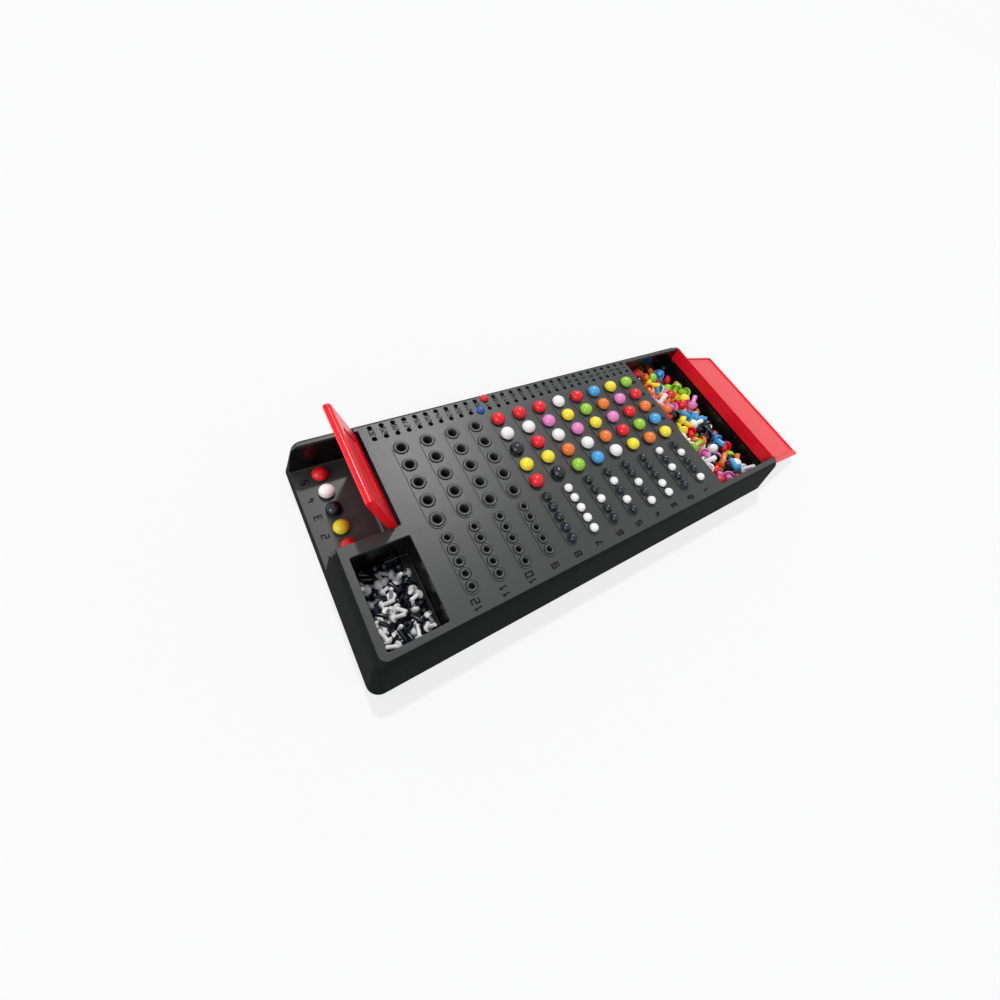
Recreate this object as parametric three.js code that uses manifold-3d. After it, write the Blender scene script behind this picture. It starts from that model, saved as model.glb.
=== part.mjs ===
// A code breaking peg game. A moulded board carries twelve rows of peg sockets and two score
// tracks. A hinged code shield covers the secret code at one end, and a flip lid covers the peg
// store at the other. Every code peg that stands in a socket is a piece of its own, and the loose
// ones in the store are one heap.
// Millimetres. +X runs from the shield end to the store end, +Y to the score side, +Z up.
// The origin is the middle of the flat underside.
import * as THREE from 'three';
import { mergeVertices } from 'three/addons/utils/BufferGeometryUtils.js';
import Module from 'manifold-3d';

const wasm = await Module();
wasm.setup();

// Driving dimensions of the board
const body_height = 34;
const bevel_out = 3.4;
const bevel_drop = 3.2;
const flare_out = 7.4;
const deck_corner = 5;
const foot_corner = 8;
const wall = 2.6;
const deck_thickness = 2.4;
const tub_wall = 2.2;
const overrun = 1;

// Fits between pieces
const fit_gap = 0.3;
const seat_gap = 0.1;

// Peg places
const row_pitch = 18.4;
const code_pitch = 13.8;
const key_pitch = 8.07;
const score_pitch = 7.86;
const row_count = 12;
const filled_rows = 8;
const places = 5;
const score_places = 30;
const first_row_gap = 17.4;
const last_row_gap = 20.5;
const far_margin = 24;
const near_margin = 15.97;
const key_line_gap = 13.15;
const key_shift = 0.4;
const score_first_gap = 4.75;
const score_near_gap = 12.2;
const score_track_gap = 9.15;

// Sockets
const pad_rise = 0.5;
const ring_rise = 0.7;
const code_ring_r = 4.65;
const code_hole_r = 2.45;
const code_pad_r = 5.9;
const key_ring_r = 3.35;
const key_hole_r = 1.6;
const key_pad_r = 4.8;
const score_hole_r = 1.6;
const socket_floor = 1.2;
const rail_lip = 1.6;

// Code pegs: a domed cap on a stem
const code_cap_r = 5.05;
const code_cap_rise = 5.2;
const stem_play = 0.25;
const stem_end_gap = 0.4;
const code_stem_length = 7.8;

// Key pegs and score pegs: a small dome on a thin stem
const key_cap_r = 3.1;
const key_cap_rise = 3.1;
const key_stem_length = 4.6;
const score_cap_r = 3.1;
const score_cap_rise = 3;
const score_stem_length = 4.6;

// Secret code compartment, key peg tray and peg store, their floors measured up from the underside
const secret_length = 37.7;
const secret_margin = 8.5;
const secret_floor = 9;
const far_rim = 2.6;
const near_rim = 4.15;
const secret_peg_inset = 8.2;
const secret_pitch = 13.6;
const partition = 7.8;
const tray_rim = 4.5;
const tray_length = 35.1;
const tray_floor = 5;
const store_length = 73.5;
const store_floor = 5;
const store_end_drop = 13.8;

// Code shield, drawn closed and then raised about its pins
const shield_reach = 40;
const shield_barrel_r = 2.6;
const shield_tip_r = 2.4;
const shield_taper = 2.75;
const shield_wall = 1.8;
const shield_pin_r = 1.5;
const shield_pin_length = 2.4;
const shield_axis_gap = 4.4;
const shield_axis_drop = 3.2;
const shield_raised_deg = 72;
const shield_panel_tip_gap = 7;
const shield_panel_hinge_gap = 11;
const shield_panel_end_gap = 12;
const shield_panel_cut = 3;
const shield_panel_sink = 0.6;

// Store lid, drawn closed and then thrown open about its pins
const lid_reach = 78;
const lid_near_overlap = 4.1;
const lid_finger_gap = 2.7;
const lid_thickness = 2;
const lid_flange = 12;
const lid_flange_tilt_deg = 13.5;
const lid_corner_out = 0.3;
const lid_corner_up = 7.3;
const lid_barrel_r = 2.2;
const lid_pin_r = 1.5;
const lid_pin_length = 2.4;
const lid_axis_inset = 2.5;
const lid_axis_drop = 4.6;
const lid_notch = 9;
const lid_corner = 1;
const lid_open_deg = 192.5;
const lid_rib = 0.8;
const lid_rib_width = 1.6;
const lid_nub_r = 1.8;
const lid_nub_length = 2.6;

// Loose code pegs in the store: rows that lie head to head, and one row thrown on top
const loose_rows = 2;
const loose_lie_deg = 17;
const loose_swing_deg = 30;
const loose_top_swing_deg = 60;

// Underside
const cover_thickness = 2;
const boss_r = 3.5;
const screw_shank_r = 1.3;
const screw_head_r = 2.9;
const screw_head = 1.5;
const screw_length = 9;
const screw_play = 0.3;
const boss_row_gap = 9.6;
const boss_near_gap = 16.6;
const boss_far_gap = 30;
const boss_end_gap = 8.8;

// Shares of a size
const key_shoulder_share = 0.15;
const key_crown_share = 0.72;
const key_crown_rise_share = 0.72;
const seat_throat_share = 0.9;
const code_shoulder_share = 0.94;
const code_shoulder_rise_share = 0.38;
const code_crown_share = 0.62;
const code_crown_rise_share = 0.82;
const score_crown_share = 0.75;
const score_crown_rise_share = 0.75;
const loose_middle_share = 0.3;
const loose_head_share = 0.78;
const loose_row_share = 0.96;
const loose_top_gap_share = 1.45;
const loose_nest_share = 0.72;
const golden_share = 0.618;

// Facet counts
const corner_steps = 3;
const pad_steps = 3;
const ring_sides = 8;
const key_sides = 6;
const peg_sides = 8;
const loose_sides = 6;
const pin_sides = 10;

// Levels and places worked out from the sizes above
const top = body_height;
const rows_length = (row_count - 1) * row_pitch;
const deck_length = secret_length + last_row_gap + rows_length + first_row_gap + store_length;
const code_span = (places - 1) * code_pitch;
const key_span = (places - 1) * key_pitch;
const deck_width = far_margin + code_span + key_line_gap + key_span + near_margin;
const half_length = deck_length / 2;
const half_width = deck_width / 2;
const store_x = half_length - store_length;
const first_code_y = half_width - far_margin;
const last_code_y = first_code_y - code_span;
const first_key_y = last_code_y - key_line_gap;
const near_score_y = first_code_y + score_near_gap;
const far_score_y = near_score_y + score_track_gap;
const far_inner_y = half_width - far_rim;
const near_inner_y = -half_width + near_rim;
const secret_x = -half_length + secret_length;
const secret_near_y = far_inner_y - secret_margin * 2 - (places - 1) * secret_pitch;
const secret_peg_x = -half_length + secret_peg_inset;
const secret_first_y = far_inner_y - secret_margin;
const tray_x = -half_length + tray_rim;
const tray_far_y = secret_near_y - partition;
const store_end_top = top - store_end_drop;
const pad_top = top + pad_rise;
const ring_top = pad_top + ring_rise;
const secret_ring_top = secret_floor + pad_rise + ring_rise;
const code_stem_r = code_hole_r - stem_play;
const code_socket_depth = code_stem_length + stem_end_gap;
const key_socket_depth = key_stem_length + stem_end_gap;
const score_socket_depth = score_stem_length + stem_end_gap;
const rowX = (row) => store_x - first_row_gap - (row - 1) * row_pitch;
const codeY = (place) => first_code_y - (place - 1) * code_pitch;
const keyX = (row) => rowX(row) + key_shift;
const keyY = (place) => first_key_y - (place - 1) * key_pitch;
const scoreX = (column) => store_x - score_first_gap - (column - 1) * score_pitch;
const secretY = (place) => secret_first_y - (place - 1) * secret_pitch;

// Solids from geometry and back
function solidOf(geometry) {
  const bare = geometry.index ? geometry.toNonIndexed() : geometry.clone();
  bare.deleteAttribute('normal');
  bare.deleteAttribute('uv');
  const merged = mergeVertices(bare);
  const kept = [];
  const index = merged.index.array;
  for (let i = 0; i < index.length; i += 3) {
    const [a, b, c] = [index[i], index[i + 1], index[i + 2]];
    if (a !== b && b !== c && c !== a) kept.push(a, b, c);
  }
  const mesh = new wasm.Mesh({
    numProp: 3,
    vertProperties: new Float32Array(merged.attributes.position.array),
    triVerts: new Uint32Array(kept),
  });
  return new wasm.Manifold(mesh);
}

function geometryOf(solid) {
  const mesh = solid.getMesh();
  const geometry = new THREE.BufferGeometry();
  const points = new Float32Array(mesh.numVert * 3);
  for (let i = 0; i < mesh.numVert; i += 1) {
    for (let k = 0; k < 3; k += 1) points[i * 3 + k] = mesh.vertProperties[i * mesh.numProp + k];
  }
  geometry.setAttribute('position', new THREE.BufferAttribute(points, 3));
  geometry.setIndex(new THREE.BufferAttribute(new Uint32Array(mesh.triVerts), 1));
  return geometry;
}

const joined = (solids) => solids.reduce((sum, solid) => sum.add(solid));

// A box between two corners
function block(low, high) {
  const size = high.map((value, i) => value - low[i]);
  const geometry = new THREE.BoxGeometry(...size);
  geometry.translate(...low.map((value, i) => value + size[i] / 2));
  return solidOf(geometry);
}

// An upright cylinder from one level to another
function post(x, y, low, high, radius, sides) {
  const geometry = new THREE.CylinderGeometry(radius, radius, high - low, sides);
  geometry.rotateX(Math.PI / 2);
  geometry.rotateZ(Math.PI / sides);
  geometry.translate(x, y, (low + high) / 2);
  return solidOf(geometry);
}

// A cylinder along Y
function pinAlongY(x, z, low, high, radius, sides) {
  const geometry = new THREE.CylinderGeometry(radius, radius, high - low, sides);
  geometry.translate(x, (low + high) / 2, z);
  return solidOf(geometry);
}

// A turned shape about Z, from points given as [radius, height] that run from the foot upwards
function turned(profile, sides) {
  const points = profile.map(([radius, height]) => new THREE.Vector2(radius, height));
  const geometry = new THREE.LatheGeometry(points, sides);
  geometry.rotateX(Math.PI / 2);
  geometry.rotateZ(Math.PI / sides);
  return geometry;
}

// A flat outline in X and Y, raised from one level to another
function slab(points, low, high) {
  const shape = new THREE.Shape(points.map(([x, y]) => new THREE.Vector2(x, y)));
  const geometry = new THREE.ExtrudeGeometry(shape, { depth: high - low, bevelEnabled: false });
  geometry.translate(0, 0, low);
  return solidOf(geometry);
}

// A side outline in X and Z, run along Y
function profileAlongY(points, low, high) {
  const shape = new THREE.Shape(points.map(([x, z]) => new THREE.Vector2(x, z)));
  const geometry = new THREE.ExtrudeGeometry(shape, { depth: high - low, bevelEnabled: false });
  geometry.rotateX(Math.PI / 2);
  geometry.translate(0, high, 0);
  return solidOf(geometry);
}

// Points of a round corner or end: an arc about a centre
function arc(x, y, radius, from, to, steps) {
  return Array.from({ length: steps + 1 }, (_, i) => {
    const angle = from + ((to - from) * i) / steps;
    return [x + radius * Math.cos(angle), y + radius * Math.sin(angle)];
  });
}

// The outline of a rectangle with round corners, about the origin
function roundedOutline(half_x, half_y, radius) {
  const quarter = Math.PI / 2;
  const centres = [[1, 1], [-1, 1], [-1, -1], [1, -1]];
  return centres.flatMap(([sx, sy], i) => arc(
    sx * (half_x - radius),
    sy * (half_y - radius),
    radius,
    i * quarter,
    (i + 1) * quarter,
    corner_steps,
  ));
}

// A solid skinned over level outlines that all have the same number of points
function skinned(levels) {
  const positions = levels.flatMap(({ outline, z }) => outline.flatMap(([x, y]) => [x, y, z]));
  const count = levels[0].outline.length;
  const index = [];
  for (let level = 0; level + 1 < levels.length; level += 1) {
    for (let i = 0; i < count; i += 1) {
      const a = level * count + i;
      const b = level * count + ((i + 1) % count);
      index.push(a, b, b + count, a, b + count, a + count);
    }
  }
  const last = (levels.length - 1) * count;
  for (let i = 1; i + 1 < count; i += 1) {
    index.push(0, i + 1, i);
    index.push(last, last + i, last + i + 1);
  }
  const geometry = new THREE.BufferGeometry();
  geometry.setAttribute('position', new THREE.Float32BufferAttribute(positions, 3));
  geometry.setIndex(index);
  return solidOf(geometry);
}

// A long pad with round ends over a line of sockets
function lanePad(x, far_y, near_y, radius, low, high) {
  const outline = [
    ...arc(x, far_y, radius, 0, Math.PI, pad_steps),
    ...arc(x, near_y, radius, Math.PI, 2 * Math.PI, pad_steps),
  ];
  return slab(outline, low, high);
}

// The board's outer form: flat deck, bevelled edge and walls that flare down to the foot
function outerForm() {
  return skinned([
    {
      outline: roundedOutline(
        half_length + bevel_out + flare_out,
        half_width + bevel_out + flare_out,
        foot_corner,
      ),
      z: 0,
    },
    {
      outline: roundedOutline(half_length + bevel_out, half_width + bevel_out, deck_corner + bevel_out / 2),
      z: top - bevel_drop,
    },
    { outline: roundedOutline(half_length, half_width, deck_corner), z: top },
  ]);
}

// The hollow beneath the deck, open at the foot
function underHollow() {
  const slope = flare_out / (top - bevel_drop);
  const foot_half_x = half_length + bevel_out + flare_out - wall;
  const foot_half_y = half_width + bevel_out + flare_out - wall;
  const deck_rise = top - deck_thickness;
  return skinned([
    {
      outline: roundedOutline(
        foot_half_x + slope * overrun,
        foot_half_y + slope * overrun,
        foot_corner - wall / 2,
      ),
      z: -overrun,
    },
    {
      outline: roundedOutline(
        foot_half_x - slope * deck_rise,
        foot_half_y - slope * deck_rise,
        deck_corner,
      ),
      z: deck_rise,
    },
  ]);
}

// The three hollows in the deck: what is cut out, and the tub of walls and floor round each
const hollows = {
  secret: {
    low: [-half_length, secret_near_y, secret_floor],
    high: [secret_x, far_inner_y, top],
  },
  tray: {
    low: [tray_x, near_inner_y, tray_floor],
    high: [tray_x + tray_length, tray_far_y, top],
  },
  store: {
    low: [store_x, near_inner_y, store_floor],
    high: [half_length, far_inner_y, top],
  },
};

const end_reach = bevel_out + flare_out + overrun;

function tubs() {
  const walls = Object.values(hollows).map(({ low, high }) => block(
    low.map((value) => value - tub_wall),
    [high[0] + tub_wall, high[1] + tub_wall, high[2] - deck_thickness / 2],
  ));
  // the compartment's floor runs out to the shield end, and a ledge caps the low end wall
  walls.push(block(
    [-half_length - end_reach, secret_near_y - tub_wall, secret_floor - tub_wall],
    [-half_length, far_inner_y + tub_wall, secret_floor],
  ));
  walls.push(block(
    [half_length, near_inner_y - tub_wall, store_end_top - tub_wall],
    [half_length + end_reach, far_inner_y + tub_wall, store_end_top],
  ));
  return walls;
}

function hollowCuts() {
  const cuts = Object.values(hollows).map(({ low, high }) => block(low, [high[0], high[1], top + overrun]));
  // the shield end stands open down to the compartment's floor
  cuts.push(block(
    [-half_length - end_reach, secret_near_y, secret_floor],
    [-half_length + overrun, far_inner_y, top + overrun],
  ));
  // the store end stands open above its low end wall
  cuts.push(block(
    [half_length - overrun, near_inner_y, store_end_top],
    [half_length + end_reach, far_inner_y, top + overrun],
  ));
  return cuts;
}

// Rails beneath the deck that hold the blind sockets
function socketRails() {
  const rails = [];
  const high = top - deck_thickness / 2;
  const code_half = code_hole_r + rail_lip;
  const key_half = key_hole_r + rail_lip;
  const score_half = score_hole_r + rail_lip;
  const code_low = ring_top - code_socket_depth - socket_floor;
  const key_low = ring_top - key_socket_depth - socket_floor;
  const rail = (x0, x1, y0, y1, z0, z1) => rails.push(block([x0, y0, z0], [x1, y1, z1]));
  for (let row = 1; row <= row_count; row += 1) {
    const [x, key_x] = [rowX(row), keyX(row)];
    rail(x - code_half, x + code_half, last_code_y - code_half, first_code_y + code_half, code_low, high);
    const key_near = keyY(places) - key_half;
    rail(key_x - key_half, key_x + key_half, key_near, first_key_y + key_half, key_low, high);
  }
  rail(
    scoreX(score_places) - score_half,
    scoreX(1) + score_half,
    near_score_y - score_half,
    half_width,
    top - score_socket_depth - socket_floor,
    high,
  );
  rail(
    secret_peg_x - code_half,
    secret_peg_x + code_half,
    secretY(places) - code_half,
    secret_first_y + code_half,
    cover_thickness + seat_gap,
    secret_floor - tub_wall / 2,
  );
  return rails;
}

// Raised lanes and rings on the deck and on the compartment's floor
function lanes() {
  const raised = [];
  const sunk = deck_thickness / 2;
  for (let row = 1; row <= row_count; row += 1) {
    raised.push(lanePad(rowX(row), first_code_y, last_code_y, code_pad_r, top - sunk, pad_top));
    raised.push(lanePad(keyX(row), first_key_y, keyY(places), key_pad_r, top - sunk, pad_top));
    for (let place = 1; place <= places; place += 1) {
      raised.push(post(rowX(row), codeY(place), top, ring_top, code_ring_r, ring_sides));
      if (row > filled_rows) {
        raised.push(post(keyX(row), keyY(place), top, ring_top, key_ring_r, key_sides));
      }
    }
  }
  for (let place = 1; place <= places; place += 1) {
    const y = secretY(place);
    raised.push(post(secret_peg_x, y, secret_floor - sunk, secret_ring_top, code_ring_r, ring_sides));
  }
  return raised;
}

// Key pegs that stand in the filled rows are one with the deck
function seatedKeyPegs() {
  const pegs = [];
  const profile = [
    [0, pad_top - pad_rise / 2],
    [key_cap_r, pad_top - pad_rise / 2],
    [key_cap_r, ring_top + key_cap_rise * key_shoulder_share],
    [key_cap_r * key_crown_share, ring_top + key_cap_rise * key_crown_rise_share],
    [0, ring_top + key_cap_rise],
  ];
  for (let row = 1; row <= filled_rows; row += 1) {
    for (let place = 1; place <= places; place += 1) {
      const peg = turned(profile, key_sides);
      peg.translate(keyX(row), keyY(place), 0);
      pegs.push(solidOf(peg));
    }
  }
  return pegs;
}

// The deck's sockets are blind, and those of the secret code run down to the cover
function sockets() {
  const cuts = [];
  const above = ring_top + overrun;
  const code_low = ring_top - code_socket_depth;
  for (let row = 1; row <= row_count; row += 1) {
    for (let place = 1; place <= places; place += 1) {
      cuts.push(post(rowX(row), codeY(place), code_low, above, code_hole_r, ring_sides));
      if (row > filled_rows) {
        cuts.push(post(keyX(row), keyY(place), ring_top - key_socket_depth, above, key_hole_r, key_sides));
      }
    }
  }
  for (let place = 1; place <= places; place += 1) {
    cuts.push(post(
      secret_peg_x,
      secretY(place),
      cover_thickness - overrun,
      secret_ring_top + overrun,
      code_hole_r,
      ring_sides,
    ));
  }
  for (let column = 1; column <= score_places; column += 1) {
    for (const y of [near_score_y, far_score_y]) {
      cuts.push(post(scoreX(column), y, top - score_socket_depth, top + overrun, score_hole_r, key_sides));
    }
  }
  return cuts;
}

// Pin seats, each open to the deck so that the pins snap in from above
const shield_axis = [secret_x - shield_axis_gap, top - shield_axis_drop];
const lid_axis = [half_length + bevel_out - lid_axis_inset, top - lid_axis_drop];

function pinSeats() {
  const seats = [];
  const seat = ([x, z], radius, low, high) => {
    const throat = radius * seat_throat_share;
    seats.push(pinAlongY(x, z, low, high, radius + stem_play, pin_sides));
    seats.push(block([x - throat, low, z], [x + throat, high, top + overrun]));
  };
  const shield_depth = shield_pin_length + fit_gap;
  seat(shield_axis, shield_pin_r, far_inner_y - overrun, far_inner_y + shield_depth);
  seat(shield_axis, shield_pin_r, secret_near_y - shield_depth, secret_near_y + overrun);
  const lid_depth = lid_pin_length + fit_gap;
  seat(lid_axis, lid_pin_r, far_inner_y - overrun, far_inner_y + lid_depth);
  seat(lid_axis, lid_pin_r, near_inner_y - lid_depth, near_inner_y + overrun);
  return seats;
}

// Screw posts stand between the lanes
const boss_xs = [
  -half_length + secret_length + boss_row_gap,
  (rowX(row_count / 2) + rowX(row_count / 2 + 1)) / 2,
  store_x - boss_end_gap + tub_wall / 2,
];
const boss_ys = [-half_width + boss_near_gap, half_width - boss_far_gap];
const boss_places = boss_xs.flatMap((x) => boss_ys.map((y) => [x, y]));

function gameBoard() {
  const bosses = boss_places.map(([x, y]) => post(
    x,
    y,
    cover_thickness + seat_gap,
    top - deck_thickness / 2,
    boss_r,
    pin_sides,
  ));
  const bores = boss_places.map(([x, y]) => post(
    x,
    y,
    0,
    screw_length + screw_play,
    screw_shank_r + screw_play / 2,
    pin_sides,
  ));
  const shell = outerForm().subtract(underHollow());
  const inside = outerForm().intersect(joined([...tubs(), ...socketRails(), ...bosses]));
  return shell
    .add(inside)
    .subtract(joined(hollowCuts()))
    .add(joined(lanes()))
    .add(joined(seatedKeyPegs()))
    .subtract(joined(sockets()))
    .subtract(joined(pinSeats()))
    .subtract(joined(bores))
    .asOriginal();
}

// The flat cover that closes the underside, with a counterbore for each screw head
function baseCover() {
  const slope = flare_out / (top - bevel_drop);
  const half_x = half_length + bevel_out + flare_out - wall - fit_gap;
  const half_y = half_width + bevel_out + flare_out - wall - fit_gap;
  const plate = skinned([
    { outline: roundedOutline(half_x, half_y, foot_corner - wall / 2), z: 0 },
    {
      outline: roundedOutline(
        half_x - slope * cover_thickness,
        half_y - slope * cover_thickness,
        foot_corner - wall / 2,
      ),
      z: cover_thickness,
    },
  ]);
  const cuts = boss_places.flatMap(([x, y]) => [
    post(x, y, -overrun, cover_thickness + overrun, screw_shank_r + screw_play, pin_sides),
    post(x, y, -overrun, screw_head, screw_head_r + screw_play, pin_sides),
  ]);
  return plate.subtract(joined(cuts));
}

// A pan head screw, drawn head down
function baseScrew() {
  return turned([
    [0, 0],
    [screw_head_r, 0],
    [screw_head_r, screw_head - seat_gap],
    [screw_shank_r, screw_head - seat_gap],
    [screw_shank_r, screw_length - screw_shank_r],
    [0, screw_length],
  ], pin_sides);
}

// The code shield, drawn closed: a hollow leaf with a round barrel, a round free edge that is a
// little shorter than the hinged one, and a sunk face panel
function codeShield() {
  const [x, z] = shield_axis;
  const tip_x = x - shield_reach;
  const face = z + shield_barrel_r;
  const quarter = Math.PI / 2;
  const low_y = secret_near_y + fit_gap;
  const high_y = far_inner_y - fit_gap;
  // how far the ends have drawn in at a distance from the hinge
  const drawn = (at_x) => (shield_taper * (x - at_x)) / shield_reach;
  const side = [
    ...arc(x, z, shield_barrel_r, -quarter, quarter, corner_steps),
    ...arc(tip_x + shield_tip_r, face - shield_tip_r, shield_tip_r, quarter, 3 * quarter, corner_steps),
  ];
  // a leaf's outline in plan between two distances from the hinge, set in from its ends
  const plan = (near_x, far_x, inset) => [
    [near_x, low_y + drawn(near_x) + inset],
    [near_x, high_y - drawn(near_x) - inset],
    [far_x, high_y - drawn(far_x) - inset],
    [far_x, low_y + drawn(far_x) + inset],
  ];
  const under = z - shield_barrel_r - overrun;
  const leaf = profileAlongY(side, low_y, high_y)
    .intersect(slab(plan(x + shield_barrel_r + overrun, tip_x - overrun, 0), under, face + overrun));
  const hollow = slab(
    plan(x - shield_barrel_r, tip_x + shield_wall + shield_tip_r, shield_wall),
    under,
    face - shield_wall,
  );
  const [[hinge_x, y0], [, y1], [panel_x, y2], [, y3]] = plan(
    x - shield_panel_hinge_gap,
    tip_x + shield_panel_tip_gap,
    shield_panel_end_gap,
  );
  const cut = shield_panel_cut;
  const panel = slab([
    [hinge_x, y0],
    [hinge_x, y1],
    [panel_x + cut, y2],
    [panel_x, y2 - cut],
    [panel_x, y3 + cut],
    [panel_x + cut, y3],
  ], face - shield_panel_sink, face + overrun);
  const pins = pinAlongY(
    x,
    z,
    low_y - shield_pin_length,
    high_y + shield_pin_length,
    shield_pin_r,
    pin_sides,
  );
  return leaf.subtract(hollow).subtract(panel).add(pins);
}

// The store lid, drawn closed: a flat panel with a turned down flange that carries the pins
function storeLid() {
  const [axis_x, axis_z] = lid_axis;
  const corner_x = axis_x + lid_corner_out;
  const face = axis_z + lid_corner_up;
  const under = face - lid_thickness;
  const tip_x = corner_x - lid_reach;
  const tilt = THREE.MathUtils.degToRad(lid_flange_tilt_deg);
  const flange_x = corner_x + lid_flange * Math.sin(tilt);
  const flange_z = face - lid_flange * Math.cos(tilt);
  const flange_low_y = near_inner_y + fit_gap;
  const flange_high_y = far_inner_y - fit_gap;
  const low_y = near_inner_y - lid_near_overlap;
  const high_y = far_inner_y - lid_finger_gap;
  const back_x = corner_x - lid_notch;
  const quarter = Math.PI / 2;
  const panel = slab([
    [corner_x, flange_low_y],
    [corner_x, high_y],
    ...arc(tip_x + lid_corner, high_y - lid_corner, lid_corner, quarter, 2 * quarter, corner_steps),
    ...arc(tip_x + lid_corner, low_y + lid_corner, lid_corner, 2 * quarter, 3 * quarter, corner_steps),
    [back_x, low_y],
    [back_x, flange_low_y],
  ], under, face);
  const inner = lid_thickness / Math.cos(tilt);
  const flange = profileAlongY([
    [corner_x, face],
    [corner_x - inner, face],
    [flange_x - inner, flange_z],
    [flange_x, flange_z],
  ], flange_low_y, flange_high_y);
  const barrel = pinAlongY(axis_x, axis_z, flange_low_y, flange_high_y, lid_barrel_r, pin_sides);
  const pins = pinAlongY(
    axis_x,
    axis_z,
    flange_low_y - lid_pin_length,
    flange_high_y + lid_pin_length,
    lid_pin_r,
    pin_sides,
  );
  // a low rib on the underside runs just inside the store's walls and keeps the lid in place
  const rib_x = [store_x + fit_gap + seat_gap, back_x];
  const rib_y = [near_inner_y + fit_gap, high_y - fit_gap];
  const rib_top = under + lid_thickness / 2;
  const rib_ring = block([rib_x[0], rib_y[0], under - lid_rib], [rib_x[1], rib_y[1], rib_top])
    .subtract(block(
      [rib_x[0] + lid_rib_width, rib_y[0] + lid_rib_width, under - lid_rib - overrun],
      [rib_x[1] - lid_rib_width, rib_y[1] - lid_rib_width, under],
    ));
  // a round nub at each end of the flange's free edge
  const nub_x = flange_x - inner;
  const nub_z = flange_z + lid_nub_r;
  const nubs = [
    pinAlongY(nub_x, nub_z, flange_low_y, flange_low_y + lid_nub_length, lid_nub_r, pin_sides),
    pinAlongY(nub_x, nub_z, flange_high_y - lid_nub_length, flange_high_y, lid_nub_r, pin_sides),
  ];
  return joined([panel, flange, barrel, pins, rib_ring, ...nubs]);
}

// A solid turned about an axis along Y; positive angles lift what lies on the +X side
function turnedAboutY(solid, [x, z], degrees) {
  const geometry = geometryOf(solid);
  geometry.translate(-x, 0, -z);
  geometry.rotateY(THREE.MathUtils.degToRad(-degrees));
  geometry.translate(x, 0, z);
  return geometry;
}

// A code peg with its seat level at zero: the cap rests on the socket's ring
function codePeg(sides) {
  return turned([
    [0, -code_stem_length],
    [code_stem_r, -code_stem_length],
    [code_stem_r, seat_gap],
    [code_cap_r, seat_gap],
    [code_cap_r * code_shoulder_share, code_cap_rise * code_shoulder_rise_share],
    [code_cap_r * code_crown_share, code_cap_rise * code_crown_rise_share],
    [0, code_cap_rise],
  ], sides);
}

// Where the middle of a loose peg's head lies above its brim
const loose_middle = code_cap_rise * loose_middle_share;

// A loose peg that lies with a flat below: its head is at the origin, and its stem runs to -X
function loosePeg(lie_deg, swing_deg, [x, y, z]) {
  const geometry = new THREE.LatheGeometry([
    [0, -code_stem_length],
    [code_stem_r, -code_stem_length],
    [code_stem_r, 0],
    [code_cap_r, 0],
    [code_cap_r * code_crown_share, code_cap_rise * code_crown_rise_share],
    [0, code_cap_rise],
  ].map(([radius, height]) => new THREE.Vector2(radius, height - loose_middle)), loose_sides);
  geometry.rotateY(Math.PI / loose_sides);
  geometry.rotateZ(-Math.PI / 2);
  geometry.rotateY(-THREE.MathUtils.degToRad(lie_deg));
  geometry.rotateZ(THREE.MathUtils.degToRad(swing_deg));
  geometry.translate(x, y, z);
  return solidOf(geometry);
}

// The heap of loose code pegs against the deck's side of the store. In a row the heads touch and
// the stems lie to one side and the other in turn, so that they meet the heads of the next row.
function looseCodePegs() {
  const lie = THREE.MathUtils.degToRad(loose_lie_deg);
  const flat_r = code_cap_r * Math.cos(Math.PI / loose_sides);
  const rest_z = store_floor + fit_gap + flat_r * Math.cos(lie) + loose_middle * Math.sin(lie);
  const first_x = store_x + fit_gap + loose_middle + code_stem_length + code_stem_r / 2;
  const row_gap = (code_stem_length + flat_r) * loose_row_share;
  // how far a swung stem reaches along Y from the middle of its head
  const swung = THREE.MathUtils.degToRad(loose_swing_deg);
  const reach = (code_stem_length + loose_middle) * Math.sin(swung) + code_stem_r;
  const low_y = near_inner_y + fit_gap + reach;
  const span = far_inner_y - fit_gap - reach - low_y;
  const steps = Math.ceil(span / (code_cap_r * 2 * loose_head_share));
  // a value between -1 and 1 that differs from peg to peg
  const stir = (n) => 2 * ((n * golden_share) % 1) - 1;
  const pegs = [];
  for (let row = 0; row < loose_rows; row += 1) {
    for (let i = 0; i <= steps; i += 1) {
      const turn = i % 2 === 0 ? 0 : 180;
      const swing = turn + loose_swing_deg * stir(i + row * steps);
      const head = [first_x + row * row_gap, low_y + (span * i) / steps, rest_z];
      pegs.push(loosePeg(loose_lie_deg, swing, head));
    }
  }
  const top_z = rest_z + flat_r * 2 * loose_nest_share;
  const top_steps = Math.floor(span / (code_cap_r * 2 * loose_top_gap_share));
  for (let i = 0; i < top_steps; i += 1) {
    const turn = i % 2 === 0 ? 0 : 180;
    const swing = turn + loose_top_swing_deg * stir(i);
    const y = low_y + (span * (i + 1 / 2)) / top_steps;
    pegs.push(loosePeg(loose_lie_deg * stir(i + 1), swing, [first_x, y, top_z]));
  }
  return joined(pegs);
}

function scorePeg() {
  const stem_r = score_hole_r - stem_play;
  return turned([
    [0, -score_stem_length],
    [stem_r, -score_stem_length],
    [stem_r, seat_gap],
    [score_cap_r, seat_gap],
    [score_cap_r, score_cap_rise / 3],
    [score_cap_r * score_crown_share, score_cap_rise * score_crown_rise_share],
    [0, score_cap_rise],
  ], peg_sides);
}

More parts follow.
